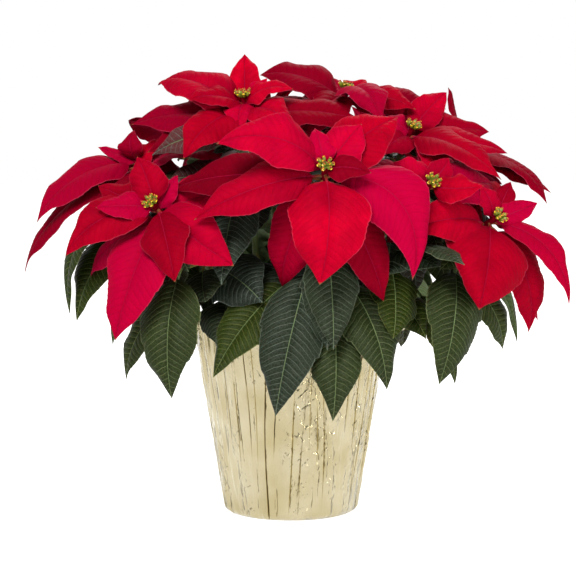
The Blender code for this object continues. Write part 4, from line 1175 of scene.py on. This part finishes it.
# Smooth green cups, wet yellow lips and dull red stamens with yellow pollen, all spotted 1 to 2 mm apart.
skins = []
for name, roughness, values, scale, dark, *light in (
    ("flower_cup", 0.4, {"subsurface_weight": 0.1, "subsurface_scale": 0.001}, 500, "35480c", "8c9426"),
    ("nectar_lip", 0.2, {"coat_weight": 0.6}, 600, "c08800", "e8c828"),
    ("stamen", 0.6, {}, 900, "8c0c10", "d89c18", 0.5, 0.6),
):
    skin, tree, shader, coords = new_material(name, roughness, **values)
    spots = add(tree, "TexNoise", {}, {"Vector": coords, "Scale": scale, "Detail": 2})["Fac"]
    plug(tree, shader, {"Base Color": layered(tree, dark, (spots, *light))})
    skins.append(skin)

# The cup's outline from foot to lip, as shares of its radius and height
CUP_PROFILE = (
    (0.0, 0.0), (0.55, 0.04), (0.85, 0.25), (1.0, 0.5), (0.92, 0.75), (0.72, 0.93), (0.6, 1.0), (0.45, 0.96),
    (0.0, 0.86),
)


def flower_cup(at, size, rng):
    """One cup with its lip and stamens. The matrix at puts its foot at the origin, with +Z up the cup."""
    bm = turned([(r * CUP_RADIUS * size, h * CUP_HEIGHT * size) for r, h in CUP_PROFILE], 12)
    bmesh.ops.transform(bm, matrix=at, verts=bm.verts)
    lip = at @ Matrix.Translation((CUP_RADIUS * size * 0.95, 0, CUP_HEIGHT * size * 0.8))
    parts = [(0, 0), (len(bm.faces), 1)]
    bmesh.ops.create_icosphere(
        bm, subdivisions=2, radius=1,
        matrix=lip @ Matrix.Rotation(0.5, 4, "Y") @ Matrix.Diagonal((*LIP_SIZE, 1)),
    )
    parts.append((len(bm.faces), 2))
    for k in range(STAMENS):
        angle = 2 * math.pi * (k + rng.random()) / STAMENS
        reach = CUP_RADIUS * size * rng.uniform(0.15, 0.6)
        height = CUP_HEIGHT * size * rng.uniform(1.0, 1.25)
        spot = at @ Matrix.Translation((reach * math.cos(angle), reach * math.sin(angle), height))
        bmesh.ops.create_icosphere(bm, subdivisions=1, radius=POLLEN_RADIUS, matrix=spot)
        bmesh.ops.create_cone(
            bm, cap_ends=True, segments=5, radius1=FILAMENT_RADIUS, radius2=FILAMENT_RADIUS,
            depth=FILAMENT_LENGTH, matrix=spot @ Matrix.Translation((0, 0, -FILAMENT_LENGTH / 2)),
        )
    bm.faces.ensure_lookup_table()
    parts.append((len(bm.faces), 0))
    for (first, index), (end, _) in zip(parts, parts[1:]):
        for k in range(first, end):
            bm.faces[k].material_index = index
    return bm


for bloom in BLOOMS:
    turn = bloom.facing.to_track_quat("Z", "X").to_matrix().to_4x4()
    base = Matrix.Translation(bloom.centre + bloom.facing * SEAT) @ turn
    bm = bmesh.new()
    bmesh.ops.create_cone(
        bm, cap_ends=True, segments=14, radius1=NECK_RADII[0], radius2=NECK_RADII[1], depth=NECK_HEIGHT,
        matrix=base @ Matrix.Translation((0, 0, NECK_HEIGHT / 2)),
    )
    for ring, count, lean, size in CUP_RINGS:
        for k in range(count):
            angle = 2 * math.pi * (k + 0.3 * looks_rng.random()) / count
            where = (ring * math.cos(angle), ring * math.sin(angle), NECK_HEIGHT - CUP_SUNK)
            spot = Matrix.Translation(where)
            tilt = Matrix.Rotation(angle, 4, "Z") @ Matrix.Rotation(lean, 4, "Y")
            absorb(bm, flower_cup(base @ spot @ tilt, size * looks_rng.uniform(0.85, 1.05), looks_rng))
    bmesh.ops.recalc_face_normals(bm, faces=bm.faces)
    piece(bm, "flowers_" + bloom.name, skins, "cyathia_" + bloom.name)


# Floor, light and camera: a lit white table, a white sweep behind and a dimmer room in front. One broad soft
# light stands high in front on the left, a small weak one low on the right, and one high up behind the plant.

FLOOR_SIZE = 12
CAMERA_AT = (-0.0026, -1.9, 0.38)
CAMERA_AIM = (-0.0026, 0, 0.1984)
LIGHT_AIM = (0, 0, 0.2)
LENS = 134.6
FILM_WIDTH = 36
FRONT_LIGHT = 0.38  # the room in front, against 1 for the white sweep behind

bm = bmesh.new()
bmesh.ops.create_grid(bm, x_segments=1, y_segments=1, size=FLOOR_SIZE / 2)
floor = placed("studio_floor", meshed(bm, "studio_floor"))

# White acrylic sheet lit from below: even and dull, with no mirror image of the pot
paper, *_ = new_material(
    "white_acrylic", 0.8, base_color=(0.5, 0.5, 0.5, 1), emission_color=(1, 1, 1, 1), emission_strength=0.9,
)
floor.data.materials.append(paper)

world = bpy.data.worlds.new("studio")
world.use_nodes = True
tree = world.node_tree
way = add(tree, "TexCoord", {}, {})["Generated"]
behind = add(tree, "SeparateXYZ", {}, {"Vector": way})["Y"]
limits = {"From Min": -0.1, "From Max": 0.9, "To Min": FRONT_LIGHT, "To Max": 1.0}
bright = add(tree, "MapRange", {}, {"Value": behind, **limits})[0]
plug(tree, tree.nodes["Background"], {"Color": (1, 1, 1, 1), "Strength": bright})
bpy.context.scene.world = world


def aimed(name, data, at, aim):
    """An object that stands at one point and looks at another."""
    made = placed(name, data)
    made.location = at
    made.rotation_mode = "QUATERNION"
    made.rotation_quaternion = (Vector(aim) - Vector(at)).to_track_quat("-Z", "Y")
    return made


for name, place, size, energy in (
    ("key", (-0.45, -1.7, 1.75), 0.9, 72),
    ("fill", (1.4, -1.1, 0.3), 0.3, 13),
    ("rim", (0.4, 1.7, 1.7), 0.8, 34),
):
    lamp = aimed(name, bpy.data.lights.new(name, "AREA"), place, LIGHT_AIM)
    lamp.data.size = size
    lamp.data.energy = energy

camera = aimed("camera", bpy.data.cameras.new("camera"), CAMERA_AT, CAMERA_AIM)
camera.data.sensor_width = FILM_WIDTH
camera.data.lens = LENS
bpy.context.scene.camera = camera
bpy.context.scene.view_settings.view_transform = "Standard"  # keeps the bracts' full red
